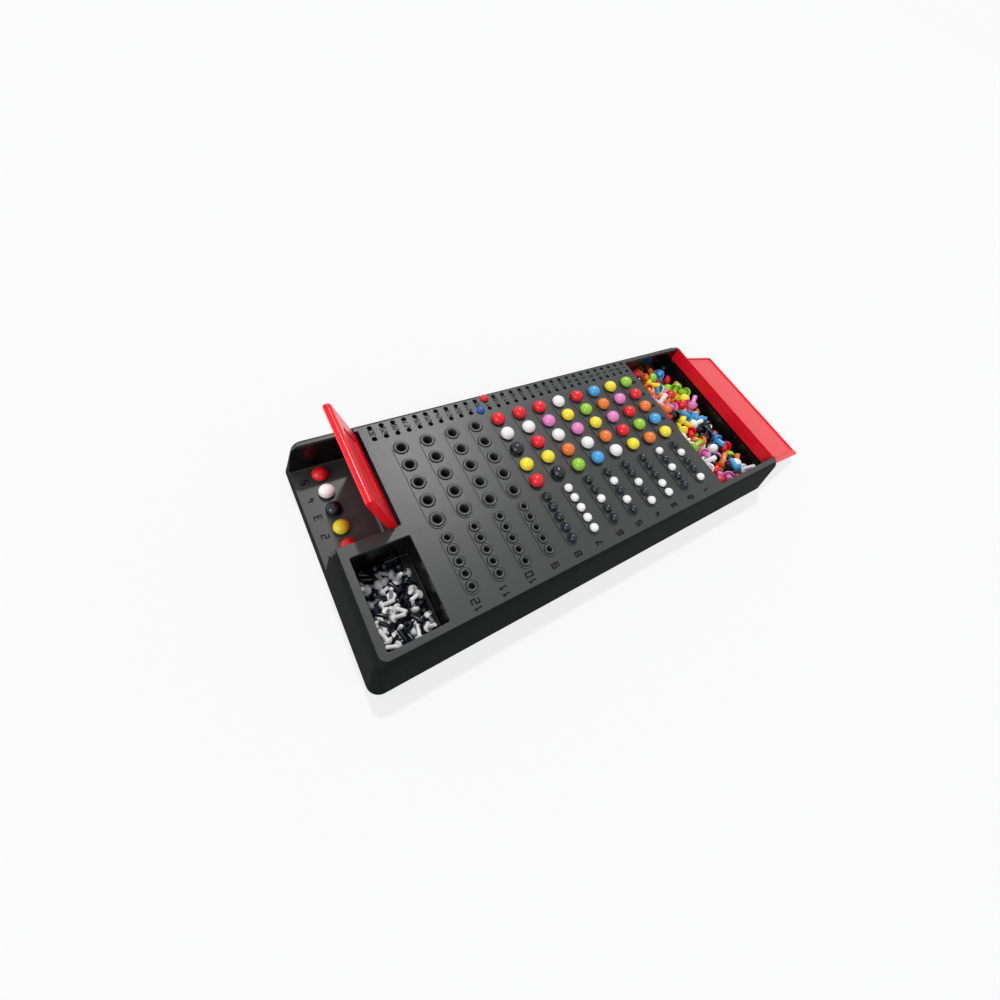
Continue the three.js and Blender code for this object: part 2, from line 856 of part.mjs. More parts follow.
// Paints
const colours = {
  red: 0xe0101c,
  green: 0x7fc52a,
  orange: 0xf5821f,
  blue: 0x2f9ee0,
  yellow: 0xf6dc1c,
  pink: 0xe676b8,
  white: 0xf2f2f2,
  black: 0x12141c,
};
const board_grey = 0x38393a;
const cover_grey = 0x2a2b2c;
const screw_steel = 0xb9bcc0;
const shield_red = 0xe01522;
const gloss = 0.25;
const matte = 0.6;
const steel_rough = 0.35;

const game = new THREE.Group();

function place(name, geometry, color, roughness, metalness = 0) {
  const material = new THREE.MeshStandardMaterial({ color, roughness, metalness });
  const mesh = new THREE.Mesh(geometry, material);
  mesh.name = name;
  game.add(mesh);
  return mesh;
}

place('game_board', geometryOf(gameBoard()), board_grey, matte);
place('base_cover', geometryOf(baseCover()), cover_grey, matte);
boss_places.forEach(([x, y], i) => {
  const screw = place(`base_screw_${i + 1}`, baseScrew(), screw_steel, steel_rough, 1);
  screw.position.set(x, y, 0);
});
place('code_shield', turnedAboutY(codeShield(), shield_axis, -shield_raised_deg), shield_red, gloss);
place('storage_lid', turnedAboutY(storeLid(), lid_axis, -lid_open_deg), shield_red, gloss);

// The guesses, row by row from the store, each from the score side to the near side
const guesses = [
  ['green', 'red', 'orange', 'blue', 'yellow'],
  ['yellow', 'pink', 'red', 'green', 'orange'],
  ['blue', 'orange', 'pink', 'red', 'yellow'],
  ['red', 'green', 'yellow', 'orange', 'white'],
  ['white', 'yellow', 'pink', 'white', 'blue'],
  ['red', 'pink', 'white', 'orange', 'green'],
  ['red', 'white', 'red', 'yellow', 'black'],
  ['red', 'white', 'black', 'yellow', 'red'],
];
guesses.forEach((guess, i) => {
  guess.forEach((colour, k) => {
    const peg = place(`code_peg_r${i + 1}_${k + 1}`, codePeg(peg_sides), colours[colour], gloss);
    peg.position.set(rowX(i + 1), codeY(k + 1), ring_top);
  });
});

const secret_code = ['red', 'white', 'black', 'yellow', 'red'];
secret_code.forEach((colour, k) => {
  const peg = place(`secret_code_peg_${k + 1}`, codePeg(peg_sides), colours[colour], gloss);
  peg.position.set(secret_peg_x, secretY(k + 1), secret_ring_top);
});

const score_marks = [
  ['score_peg_red', 19, far_score_y, 'red'],
  ['score_peg_blue', 20, near_score_y, 'blue'],
];
score_marks.forEach(([name, column, y, colour]) => {
  const peg = place(name, scorePeg(), colours[colour], gloss);
  peg.position.set(scoreX(column), y, top);
});

place('loose_code_pegs', geometryOf(looseCodePegs()), colours.yellow, gloss);

export default game;
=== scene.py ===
"""The looks of a code breaking peg game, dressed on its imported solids.

Sizes are millimetres in the tables below and become metres when a mesh is made.
+X runs from the shield end to the store end, +Y to the score tracks, +Z up.
"""

import math
import random

import bmesh
import bpy
from mathutils import Matrix, Vector


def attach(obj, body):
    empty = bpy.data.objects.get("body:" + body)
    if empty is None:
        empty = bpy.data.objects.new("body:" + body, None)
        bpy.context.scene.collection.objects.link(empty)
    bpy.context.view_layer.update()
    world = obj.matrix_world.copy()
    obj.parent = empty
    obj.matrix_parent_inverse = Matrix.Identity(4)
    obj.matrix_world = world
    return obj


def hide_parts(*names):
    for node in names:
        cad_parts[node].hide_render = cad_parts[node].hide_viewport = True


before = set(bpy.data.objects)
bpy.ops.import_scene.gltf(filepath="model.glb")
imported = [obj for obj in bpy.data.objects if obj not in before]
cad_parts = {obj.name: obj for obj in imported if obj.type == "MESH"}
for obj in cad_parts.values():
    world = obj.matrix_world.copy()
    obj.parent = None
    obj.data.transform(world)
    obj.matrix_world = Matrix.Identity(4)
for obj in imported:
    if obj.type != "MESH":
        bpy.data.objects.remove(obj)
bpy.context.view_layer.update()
MM = 0.001

# Camera: where the photograph was taken from, with a wide lens and no shift
CAMERA_PLACE = (-179.77, -91.89, 250.38)
CAMERA_RIGHT = (0.84810, -0.47363, 0.23747)
CAMERA_UP = (0.32893, 0.82204, 0.46481)
CAMERA_BACK = (-0.41536, -0.31610, 0.85297)
CAMERA_LENS = 14.12
CAMERA_SENSOR = 36.0

# The board
HALF_LENGTH = 175.75
HALF_WIDTH = 70.3
TOP = 34.0
BEVEL_OUT = 3.4
BEVEL_DROP = 3.2
FLARE_OUT = 7.4
DECK_CORNER = 5.0
SHIELD_FAR_CORNER = 2.4
STORE_FAR_CORNER = 2.2
STORE_NEAR_CORNER = 3.0
FOOT_CORNER = 8.0
WALL = 2.6
DECK_THICKNESS = 2.4
DECK_SEAM = 0.15

# Places of the pegs
ROW_PITCH = 18.4
CODE_PITCH = 13.8
KEY_PITCH = 8.07
SCORE_PITCH = 7.86
ROWS = 12
PLACES = 5
SCORE_PLACES = 30
FIRST_ROW_X = 84.85
FIRST_CODE_Y = 46.3
FIRST_KEY_Y = -22.05
KEY_SHIFT = 0.4
FIRST_SCORE_X = 97.5
NEAR_SCORE_Y = 58.5
FAR_SCORE_Y = 67.65

# Sockets
PAD_TOP = 34.5
RING_TOP = 35.2
CODE_RING_R = 4.65
CODE_HOLE_R = 2.45
CODE_MOUTH_R = 2.95
CODE_PAD_R = 5.9
KEY_RING_R = 3.35
KEY_HOLE_R = 1.6
KEY_MOUTH_R = 1.85
KEY_PAD_R = 4.8
SCORE_HOLE_R = 1.6
CODE_DEPTH = 8.2
SMALL_DEPTH = 5.0
MOAT = 0.35
LANE_OVERLAP = 0.25
CODE_SIDES = 32
KEY_SIDES = 24
SCORE_SIDES = 20

# Hollows in the deck: left, right, near, far and floor
SECRET = (-175.75, -138.05, -3.7, 67.7, 9.0)
TRAY = (-171.25, -136.15, -66.15, -11.5, 5.0)
STORE = (102.25, 175.75, -66.15, 67.7, 5.0)
HOLLOW_CORNER = 1.2
HOLLOW_SKIN = 2.2
STORE_END_TOP = 20.2
LEDGE = 2.0
LOOSE_SOLID_RIGHT = 134.0
HEAP_TOP = 29.0
SECRET_PEG_X = -167.55
SECRET_FIRST_Y = 59.2
SECRET_PITCH = 13.6
SECRET_RING_TOP = 10.2

# Pegs
CODE_CAP_R = 5.05
CODE_CAP_RISE = 5.2
CODE_STEM_R = 2.2
CODE_STEM = 7.8
LOOSE_STEM = 8.4
KEY_CAP_R = 3.1
KEY_CAP_RISE = 3.1
SEATED_KEY_RISE = KEY_CAP_RISE + 0.2
LOOSE_KEY_RISE = KEY_CAP_RISE - 0.3
KEY_SINK = 0.3
KEY_STEM_R = 1.25
KEY_STEM = 4.6
LOOSE_KEY_STEM = 7.2
SCORE_CAP_R = 3.1
SCORE_CAP_RISE = 2.9
SCORE_STEM_R = 1.35
SCORE_STEM = 4.6
RED_SCORE = 19
BLUE_SCORE = 20

# Shield and lid, and the seats of their pins
SHIELD_AXIS = (-142.45, 30.8)
SHIELD_RAISED = 72.0
LID_AXIS = (176.65, 29.4)
LID_OPEN = 192.5
FIT_GAP = 0.3
PIN_R = 1.5
PIN_OUT = 2.4
SEAT_HALF = 1.9
SHIELD_SEAT_DEEP = 2.4
LID_SEAT_DEEP = 2.7
SHIELD_BARREL_R = 2.6
SHIELD_REACH = 40.0
SHIELD_TIP_R = 2.4
SHIELD_TAPER = 2.75
SHIELD_WALL = 1.8
POCKET_DEEP = 0.6
LID_REACH = 78.0
LID_THICK = 2.0
LID_CORNER_R = 1.0
LID_FLANGE = 12.0
LID_TILT = 13.5
LID_BARREL_R = 2.2
LID_BACK = 0.3
LID_FACE_UP = 7.3
LID_NEAR_OVER = 4.1
LID_FAR_INSIDE = 2.7
LID_NECK = 9.0

# Numbers, from what they stand beside
ROW_NUMBER_SHIFT = 1.5
ROW_NUMBER_Y = -64.7
PLACE_NUMBER_X = FIRST_ROW_X + 10.4
PLACE_NUMBER_SHIFT = 1.0
SECRET_NUMBER_X = SECRET_PEG_X - 10.5
SECRET_NUMBER_SHIFT = 1.8

# Cutters reach past what they cut, and are a hair wider than a hollow
REACH = 20.0
ABOVE = 5.0
END_STRIP = 6.0
HAIR = 0.05

# Shading: degrees between faces past which an edge stays sharp
SHARP = 40
PLATE_SHARP = 35
ROUND_SHARP = 50
NUMBER_SHARP = 30


def spaced(first, pitch, count):
    """So many places at an even pitch, each lower than the one before."""
    return [first - i * pitch for i in range(count)]


row_xs = spaced(FIRST_ROW_X, ROW_PITCH, ROWS)
key_xs = [x + KEY_SHIFT for x in row_xs]
score_xs = spaced(FIRST_SCORE_X, SCORE_PITCH, SCORE_PLACES)
code_ys = spaced(FIRST_CODE_Y, CODE_PITCH, PLACES)
key_ys = spaced(FIRST_KEY_Y, KEY_PITCH, PLACES)
secret_ys = spaced(SECRET_FIRST_Y, SECRET_PITCH, PLACES)


def link(obj):
    bpy.context.scene.collection.objects.link(obj)
    return obj


camera_data = bpy.data.cameras.new("camera")
camera_data.lens = CAMERA_LENS
camera_data.sensor_width = CAMERA_SENSOR
camera_data.clip_start = 0.01
camera_data.clip_end = 50.0
camera = link(bpy.data.objects.new("camera", camera_data))
turn = Matrix((CAMERA_RIGHT, CAMERA_UP, CAMERA_BACK)).transposed()
camera.matrix_world = Matrix.Translation(Vector(CAMERA_PLACE) * MM) @ turn.to_4x4()
bpy.context.scene.camera = camera


# Finishes. The scales are those of the noises, in waves to the metre
FLOW_SCALE = 38.0
WEAR_SCALE = 210.0
GRAIN_SCALE = 900.0
GRAIN_DEPTH = 0.0001
COAT_ROUGHNESS = 0.12


def fill(node, **inputs):
    """Sets inputs of a node, or links them to given sockets. A low line in a name stands for a space."""
    for name, value in inputs.items():
        end = node.inputs[name.replace("_", " ")]
        if isinstance(value, bpy.types.NodeSocket):
            node.id_data.links.new(value, end)
        else:
            end.default_value = value
    return node


def add(tree, kind, **inputs):
    """A new node in a tree, with inputs set or linked."""
    return fill(tree.nodes.new(kind), **inputs)


def noise(tree, place, scale, detail):
    """A noise that keeps to the piece's own coordinates."""
    node = add(tree, "ShaderNodeTexNoise", Vector=place.outputs["Object"], Scale=scale, Detail=detail)
    return node.outputs["Fac"]


def moulded_plastic(name, colour, roughness, shine=0.5, grain=0.0, mottle=0.06, coat=0.0, gloss_drift=0.02):
    """Injection moulded plastic: a faint flow mottle in colour and gloss, and a fine moulded grain."""
    material = bpy.data.materials.new(name)
    material.use_nodes = True
    tree = material.node_tree
    place = add(tree, "ShaderNodeTexCoord")
    tint = add(tree, "ShaderNodeValToRGB", Fac=noise(tree, place, FLOW_SCALE, 5.0))
    for element, position, share in zip(tint.color_ramp.elements, (0.3, 0.7), (1 - mottle, 1 + mottle)):
        element.position = position
        element.color = [min(1.0, c * share) for c in colour] + [1]
    gloss = add(tree, "ShaderNodeMapRange", Value=noise(tree, place, WEAR_SCALE, 3.0),
                To_Min=roughness - gloss_drift, To_Max=roughness + gloss_drift)
    shader = fill(tree.nodes["Principled BSDF"], Base_Color=tint.outputs["Color"], Coat_Weight=coat,
                  Coat_Roughness=COAT_ROUGHNESS, Roughness=gloss.outputs["Result"], Specular_IOR_Level=shine)
    if grain:
        bump = add(tree, "ShaderNodeBump", Strength=grain, Distance=GRAIN_DEPTH,
                   Height=noise(tree, place, GRAIN_SCALE, 2.0))
        fill(shader, Normal=bump.outputs["Normal"])
    return material


deck_plastic = moulded_plastic("deck_plastic", (0.027, 0.028, 0.0285), 0.42, shine=0.43, grain=0.3)
body_plastic = moulded_plastic("body_plastic", (0.0044, 0.0053, 0.0050), 0.64, shine=0.025, grain=0.35)
# Painted sheen: the rim's bevel gets a lighter, glossier black than the walls, standing in for the light it
# reflects
rim_sheen_plastic = moulded_plastic("rim_sheen_plastic", (0.0095, 0.0105, 0.0102), 0.55, shine=0.05, grain=0.3)
tub_plastic = moulded_plastic("tub_plastic", (0.004, 0.004, 0.0045), 0.22, shine=0.35, grain=0.12)
socket_plastic = moulded_plastic("socket_plastic", (0.030, 0.031, 0.032), 0.42, shine=0.42, grain=0.15)
number_plastic = moulded_plastic("number_plastic", (0.002, 0.002, 0.0025), 0.5, shine=0.12, grain=0.1)
shield_plastic = moulded_plastic("shield_plastic", (0.97, 0.003, 0.013), 0.28, shine=0.28, grain=0.06, coat=0.1)
# The shield's panel: rougher and matt of its own, its paler pink tint partly painted reflection
shield_panel_matt_sheen_plastic = moulded_plastic("shield_panel_matt_sheen_plastic", (0.96, 0.018, 0.030), 0.42, shine=0.2, grain=0.15)
lid_plastic = moulded_plastic("lid_plastic", (0.80, 0.006, 0.018), 0.36, shine=0.33, grain=0.08, coat=0.08)
cover_plastic = moulded_plastic("cover_plastic", (0.018, 0.018, 0.02), 0.6, shine=0.15, grain=0.5)
zinc_plate = moulded_plastic("zinc_plate", (0.55, 0.56, 0.58), 0.35, grain=0.2)
fill(zinc_plate.node_tree.nodes["Principled BSDF"], Metallic=1.0)
PEG_COLOURS = {
    "red": (0.80, 0.010, 0.018),
    "green": (0.30, 0.60, 0.035),
    "orange": (0.86, 0.19, 0.026),
    "blue": (0.06, 0.36, 0.74),
    "yellow": (0.92, 0.76, 0.03),
    "pink": (0.81, 0.24, 0.56),
    "white": (0.90, 0.90, 0.90),
    "black": (0.003, 0.005, 0.014),
    "navy": (0.02, 0.09, 0.45),
}
peg_plastic = {
    name: moulded_plastic(f"peg_{name}", colour, 0.24 if name == "black" else 0.27,
                          shine=0.5 if name == "black" else 0.42, mottle=0.04, gloss_drift=0.03)
    for name, colour in PEG_COLOURS.items()
}


# Mesh makers
def shade(mesh, sharp):
    mesh.shade_smooth()
    mesh.set_sharp_from_angle(angle=math.radians(sharp))


def mesh_piece(name, shape, material, sharp=SHARP):
    """A piece from a shape, which is its points in millimetres and its faces."""
    points, faces = shape
    mesh = bpy.data.meshes.new(name)
    mesh.from_pydata([Vector(p) * MM for p in points], [], faces)
    mesh.validate()
    mesh.materials.append(material)
    shade(mesh, sharp)
    return link(bpy.data.objects.new(name, mesh))


def weld(obj):
    """Merges doubles and makes every face point outwards."""
    shape = bmesh.new()
    shape.from_mesh(obj.data)
    bmesh.ops.remove_doubles(shape, verts=shape.verts, dist=MM * MM)
    bmesh.ops.recalc_face_normals(shape, faces=shape.faces)
    shape.to_mesh(obj.data)
    shape.free()
    return obj


def solid(name, shape, material, sharp=SHARP):
    return weld(mesh_piece(name, shape, material, sharp))


def baked(obj):
    """Makes what a piece's modifiers do part of its mesh."""
    graph = bpy.context.evaluated_depsgraph_get()
    mesh = bpy.data.meshes.new_from_object(obj.evaluated_get(graph))
    obj.modifiers.clear()
    old = obj.data
    obj.data = mesh
    bpy.data.meshes.remove(old)
    return obj


def calm(obj):
    """Large flat faces keep their own normal, and the soft edges between them blend."""
    modifier = obj.modifiers.new("calm", "WEIGHTED_NORMAL")
    modifier.mode = "FACE_AREA"
    modifier.weight = 100
    modifier.keep_sharp = True
    return baked(obj)


def cut(obj, cutters, operation="DIFFERENCE"):
    """Cuts solids from a piece, applies the cuts and removes the cutters."""
    for cutter in cutters:
        modifier = obj.modifiers.new("cut", "BOOLEAN")
        modifier.operation = operation
        modifier.solver = "EXACT"
        modifier.object = cutter
        baked(obj)
        bpy.data.objects.remove(cutter)
    shade(obj.data, PLATE_SHARP)
    return calm(obj)


def soften(obj, width, angle):
    """A rounded edge on every crease of a piece past an angle."""
    modifier = obj.modifiers.new("soften", "BEVEL")
    modifier.width = width * MM
    modifier.segments = 3
    modifier.limit_method = "ANGLE"
    modifier.angle_limit = math.radians(angle)
    baked(obj)
    shade(obj.data, ROUND_SHARP)
    return calm(obj)


def finish_faces(obj, material, wanted):
    """Gives the faces that a test picks out, by their middle in millimetres and their normal, another finish."""
    obj.data.materials.append(material)
    for polygon in obj.data.polygons:
        if wanted(polygon.center / MM, polygon.normal):
            polygon.material_index = 1


# Shapes: outlines are lists of pairs, and shapes are points and faces
def arc(cx, cy, radius, start, end, steps):
    turns = [math.radians(start + (end - start) * i / steps) for i in range(steps + 1)]
    return [(cx + radius * math.cos(a), cy + radius * math.sin(a)) for a in turns]


def side_circle(axis, radius):
    """A round outline of 24 corners."""
    return arc(*axis, radius, 0, 345, 23)


def circle(x, y, radius, sides):
    return [(x + radius * math.cos(2 * math.pi * i / sides), y + radius * math.sin(2 * math.pi * i / sides))
            for i in range(sides)]


def rounded(half_x, half_y, radius, steps):
    points = []
    for i, (sx, sy) in enumerate(((1, 1), (-1, 1), (-1, -1), (1, -1))):
        points += arc(sx * (half_x - radius), sy * (half_y - radius), radius, 90 * i, 90 * i + 90, steps)
    return points


def rounded_box(left, right, near, far, radius):
    half_x, half_y = (right - left) / 2, (far - near) / 2
    return [(x + (left + right) / 2, y + (near + far) / 2) for x, y in rounded(half_x, half_y, radius, 4)]


def lane(x, far, near, radius):
    """The outline of a row of sockets, with round ends."""
    return arc(x, far, radius, 0, 180, 10) + arc(x, near, radius, 180, 360, 10)


def board_level(out, z, corner):
    """The board's outline at a height, so far out from the deck's edge."""
    return rounded(HALF_LENGTH + out, HALF_WIDTH + out, corner, 12), z


def box(low, high):
    points = [(x, y, z) for x in (low[0], high[0]) for y in (low[1], high[1]) for z in (low[2], high[2])]
    return points, [(0, 1, 3, 2), (4, 6, 7, 5), (0, 4, 5, 1), (2, 3, 7, 6), (0, 2, 6, 4), (1, 5, 7, 3)]


def box_cutter(low, high):
    return mesh_piece("cutter", box(low, high), body_plastic)


def lathe(profile, sides):
    """A turned shape from (radius, height) pairs that start and end on the axis."""
    points, faces, rings = [], [], []
    for radius, height in profile:
        ring = circle(0, 0, radius, sides if radius else 1)
        rings.append(range(len(points), len(points) + len(ring)))
        points += [(x, y, height) for x, y in ring]
    for low, high in zip(rings, rings[1:]):
        for i in range(sides):
            j = (i + 1) % sides
            if len(low) == 1:
                faces.append((low[0], high[j], high[i]))
            elif len(high) == 1:
                faces.append((low[i], low[j], high[0]))
            else:
                faces.append((low[i], low[j], high[j], high[i]))
    return points, faces


def ring_faces(rings, count, looped=False):
    """The faces between rings of so many points each, and in a loop those back to the first ring."""
    faces = []
    for k in range(rings if looped else rings - 1):
        low, high = k * count, (k + 1) % rings * count
        for i in range(count):
            j = (i + 1) % count
            faces.append((low + i, low + j, high + j, high + i))
    return faces


def stack(levels, looped=False):
    """Skins level outlines of equal count, each a list of (x, y) and a height, with closed ends or in a loop."""
    count = len(levels[0][0])
    points = [(x, y, z) for outline, z in levels for x, y in outline]
    faces = ring_faces(len(levels), count, looped)
    if not looped:
        faces.append(tuple(reversed(range(count))))
        faces.append(tuple(range((len(levels) - 1) * count, len(levels) * count)))
    return points, faces


def along_y(profile, low, high, soft):
    """A shape from a side outline of (x, z), with softened ends."""
    cx = sum(x for x, _ in profile) / len(profile)
    cz = sum(z for _, z in profile) / len(profile)

    def inset(amount):
        out = []
        for x, z in profile:
            d = math.hypot(x - cx, z - cz)
            out.append((x - (x - cx) / d * amount, z - (z - cz) / d * amount))
        return out

    rings = [(inset(soft), low), (inset(soft * 0.3), low + soft * 0.3), (profile, low + soft),
             (profile, high - soft), (inset(soft * 0.3), high - soft * 0.3), (inset(soft), high)]
    n = len(profile)
    points = [(x, y, z) for ring, y in rings for x, z in ring]
    faces = [(a, d, c, b) for a, b, c, d in ring_faces(len(rings), n)]
    faces.append(tuple(range(n)))
    faces.append(tuple(reversed(range((len(rings) - 1) * n, len(rings) * n))))
    return points, faces


def plate(name, outline, holes, low, high, material, edge=0.25, edge_steps=2):
    """A flat moulded plate with holes. Every edge, round the outside and round the holes, is softened."""
    curve = bpy.data.curves.new(name, "CURVE")
    curve.dimensions = "2D"
    curve.fill_mode = "BOTH"
    for k, ring in enumerate([outline] + holes):
        area = sum(x0 * y1 - x1 * y0 for (x0, y0), (x1, y1) in zip(ring, ring[1:] + ring[:1]))
        anticlockwise = area > 0
        if anticlockwise != (k == 0):
            ring = ring[::-1]
        spline = curve.splines.new("POLY")
        spline.points.add(len(ring) - 1)
        for point, (x, y) in zip(spline.points, ring):
            point.co = (x * MM, y * MM, 0, 1)
        spline.use_cyclic_u = True
    curve.bevel_depth = edge * MM
    curve.bevel_resolution = edge_steps
    curve.offset = -edge * MM
    curve.extrude = (high - low) / 2 * MM - edge * MM
    drawn = link(bpy.data.objects.new(name, curve))
    graph = bpy.context.evaluated_depsgraph_get()
    mesh = bpy.data.meshes.new_from_object(drawn.evaluated_get(graph))
    bpy.data.objects.remove(drawn)
    mesh.transform(Matrix.Translation((0, 0, (low + high) / 2 * MM)))
    mesh.materials.clear()
    mesh.materials.append(material)
    obj = weld(link(bpy.data.objects.new(name, mesh)))
    shade(mesh, PLATE_SHARP)
    return calm(obj)


def stands_for(obj, body, node):
    """Lets a piece ride on a body, in the place of a solid."""
    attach(obj, body)
    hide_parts(node)
    return obj


def on_board(obj):
    return stands_for(obj, "board", "game_board")


# Geometry Nodes: copies of one piece, on a grid or on given points
def new_tree(name, inputs):
    """A tree that takes the given inputs, the piece that it copies and its finish."""
    tree = bpy.data.node_groups.new(name, "GeometryNodeTree")
    for label, kind in (("Geometry", "Geometry"), *inputs, ("Piece", "Object"), ("Finish", "Material")):
        tree.interface.new_socket(label, in_out="INPUT", socket_type=f"NodeSocket{kind}")
    tree.interface.new_socket("Geometry", in_out="OUTPUT", socket_type="NodeSocketGeometry")
    return tree, tree.nodes.new("NodeGroupInput")


def copies(tree, given, **where):
    """Puts the piece on every point, makes the copies real and gives them their finish."""
    info = add(tree, "GeometryNodeObjectInfo", Object=given.outputs["Piece"])
    stand = add(tree, "GeometryNodeInstanceOnPoints", Instance=info.outputs["Geometry"], **where)
    real = add(tree, "GeometryNodeRealizeInstances", Geometry=stand.outputs["Instances"])
    finish = add(tree, "GeometryNodeSetMaterial", Geometry=real.outputs["Geometry"],
                 Material=given.outputs["Finish"])
    add(tree, "NodeGroupOutput", Geometry=finish.outputs["Geometry"])
    return tree


def grid_tree():
    """Stands copies of a piece on a grid of rows and places."""
    tree, given = new_tree("stand_in_rows", (
        ("Rows", "Int"), ("Places", "Int"), ("Row length", "Float"), ("Place length", "Float"),
        ("Middle", "Vector")))
    grid = add(tree, "GeometryNodeMeshGrid", Vertices_X=given.outputs["Rows"], Vertices_Y=given.outputs["Places"],
               Size_X=given.outputs["Row length"], Size_Y=given.outputs["Place length"])
    move = add(tree, "GeometryNodeTransform", Geometry=grid.outputs["Mesh"], Translation=given.outputs["Middle"])
    return copies(tree, given, Points=move.outputs["Geometry"])


def points_tree():
    """Lays copies of a piece on given points, each turned as its point says."""
    tree, given = new_tree("lay_on_points", ())
    turn_of = add(tree, "GeometryNodeInputNamedAttribute", Name="turn")
    turn_of.data_type = "FLOAT_VECTOR"
    spin = add(tree, "FunctionNodeEulerToRotation", Euler=turn_of.outputs["Attribute"])
    return copies(tree, given, Points=given.outputs["Geometry"], Rotation=spin.outputs["Rotation"])


ROWS_TREE = grid_tree()
POINTS_TREE = points_tree()


def grown(name, tree, values, mesh=None):
    """Runs a tree with its inputs set, and keeps the result as a plain mesh."""
    obj = link(bpy.data.objects.new(name, mesh or bpy.data.meshes.new(name)))
    modifier = obj.modifiers.new(tree.name, "NODES")
    modifier.node_group = tree
    sockets = {item.name: item.identifier for item in tree.interface.items_tree if item.in_out == "INPUT"}
    for key, value in values.items():
        modifier[sockets[key]] = value
    return baked(obj)


def in_rows(name, piece, finish, xs, ys, z):
    """Copies of a piece at every x of one list and y of another, both evenly spaced."""
    return grown(name, ROWS_TREE, {
        "Rows": len(xs), "Places": len(ys),
        "Row length": abs(xs[0] - xs[-1]) * MM, "Place length": abs(ys[0] - ys[-1]) * MM,
        "Middle": ((xs[0] + xs[-1]) / 2 * MM, (ys[0] + ys[-1]) / 2 * MM, z * MM),
        "Piece": piece, "Finish": finish,
    })


def laid(name, piece, finish, places):
    """Copies of a piece, each with a place in millimetres and a turn."""
    mesh = bpy.data.meshes.new(name)
    mesh.from_pydata([Vector(p) * MM for p, _ in places], [], [])
    turns = mesh.attributes.new("turn", "FLOAT_VECTOR", "POINT")
    for item, (_, angles) in zip(turns.data, places):
        item.vector = angles
    return grown(name, POINTS_TREE, {"Piece": piece, "Finish": finish}, mesh)


# Pegs
def dome(radius, rise, steps, lip, lift=0.0):
    """The outside of a cap, from its rim to its crown."""
    points = [(radius - lip, lift), (radius, lift + lip)]
    for i in range(1, steps):
        a = math.pi / 2 * i / steps
        points.append((radius * math.cos(a), lift + lip + (rise - lip) * math.sin(a)))
    return points + [(0, lift + rise)]


def stem(radius, length, tip_in, tip_up):
    """The outside of a stem, from its bevelled tip up."""
    return [(0, -length), (radius - tip_in, -length), (radius, -length + tip_up)]


def code_peg_shape(sides, steps):
    """A mushroom peg as it stands: a domed cap on a round stem."""
    base = 0.1
    under = stem(CODE_STEM_R, CODE_STEM, 0.4, 0.5) + [(CODE_STEM_R, base), (CODE_CAP_R - 0.5, base)]
    return lathe(under + dome(CODE_CAP_R, CODE_CAP_RISE, steps, lip=0.6), sides)


def loose_peg_shape(sides, steps):
    """The same peg as it looks out of its socket: a hollow cap like an umbrella round the stem."""
    inner_r = CODE_CAP_R - 0.85
    inside = CODE_CAP_RISE - 1.3
    under = stem(CODE_STEM_R, LOOSE_STEM, 0.4, 0.5)
    under += [(CODE_STEM_R, inside * 0.9), (CODE_CAP_R * 0.66, inside * 0.8), (inner_r - 0.25, inside * 0.45),
              (inner_r, 0.0)]
    return lathe(under + dome(CODE_CAP_R, CODE_CAP_RISE, steps, lip=0.45), sides)


def small_peg_shape(cap_r, cap_rise, stem_r, stem_long, sides, steps, base=0.05):
    """A small dome on a thin stem."""
    under = stem(stem_r, stem_long, 0.3, 0.4) + [(stem_r, base)]
    return lathe(under + dome(cap_r, cap_rise, steps, lip=0.35, lift=base), sides)


def placed(name, shape, colour, place, node, finish=None):
    """A peg at its place, on the body that has its node's name, in its colour's plastic or in another."""
    points, faces = shape
    points = [[p + move for p, move in zip(point, place)] for point in points]
    obj = mesh_piece(name, (points, faces), finish or peg_plastic[colour], ROUND_SHARP)
    stands_for(obj, node, node)


GUESSES = [guess.split() for guess in (
    "green red orange blue yellow",
    "yellow pink red green orange",
    "blue orange pink red yellow",
    "red green yellow orange white",
    "white yellow pink white blue",
    "red pink white orange green",
    "red white red yellow black",
    "red white black yellow red",
)]
SECRET_CODE = GUESSES[-1]
KEYS = ("BWBBW", "WBWBB", "BBBWW", "BBWBW", "BWBWB", "BBWBB", "WWWWW", "BBBBB")

code_shape = code_peg_shape(32, 9)
for row, (x, guess) in enumerate(zip(row_xs, GUESSES), 1):
    for k, (y, colour) in enumerate(zip(code_ys, guess), 1):
        placed(f"cap_r{row}_{k}", code_shape, colour, (x, y, RING_TOP), f"code_peg_r{row}_{k}")
for k, (y, colour) in enumerate(zip(secret_ys, SECRET_CODE), 1):
    placed(f"secret_cap_{k}", code_shape, colour, (SECRET_PEG_X, y, SECRET_RING_TOP), f"secret_code_peg_{k}")

score_shape = small_peg_shape(SCORE_CAP_R, SCORE_CAP_RISE, SCORE_STEM_R, SCORE_STEM, 28, 8)
placed("score_head_red", score_shape, "red", (score_xs[RED_SCORE - 1], FAR_SCORE_Y, TOP), "score_peg_red")
placed("score_head_blue", score_shape, "blue", (score_xs[BLUE_SCORE - 1], NEAR_SCORE_Y, TOP), "score_peg_blue",
       peg_plastic["navy"])

# Key pegs in the filled rows
key_source = mesh_piece("key_source", small_peg_shape(KEY_CAP_R, SEATED_KEY_RISE, KEY_STEM_R, KEY_STEM, 22, 7),
                        peg_plastic["white"])
for mark, colour in (("W", "white"), ("B", "black")):
    places = [((x, y, RING_TOP - KEY_SINK), (0, 0, 0))
              for x, row_keys in zip(key_xs, KEYS) for y, key in zip(key_ys, row_keys) if key == mark]
    on_board(laid(f"key_pegs_{colour}", key_source, peg_plastic[colour], places))


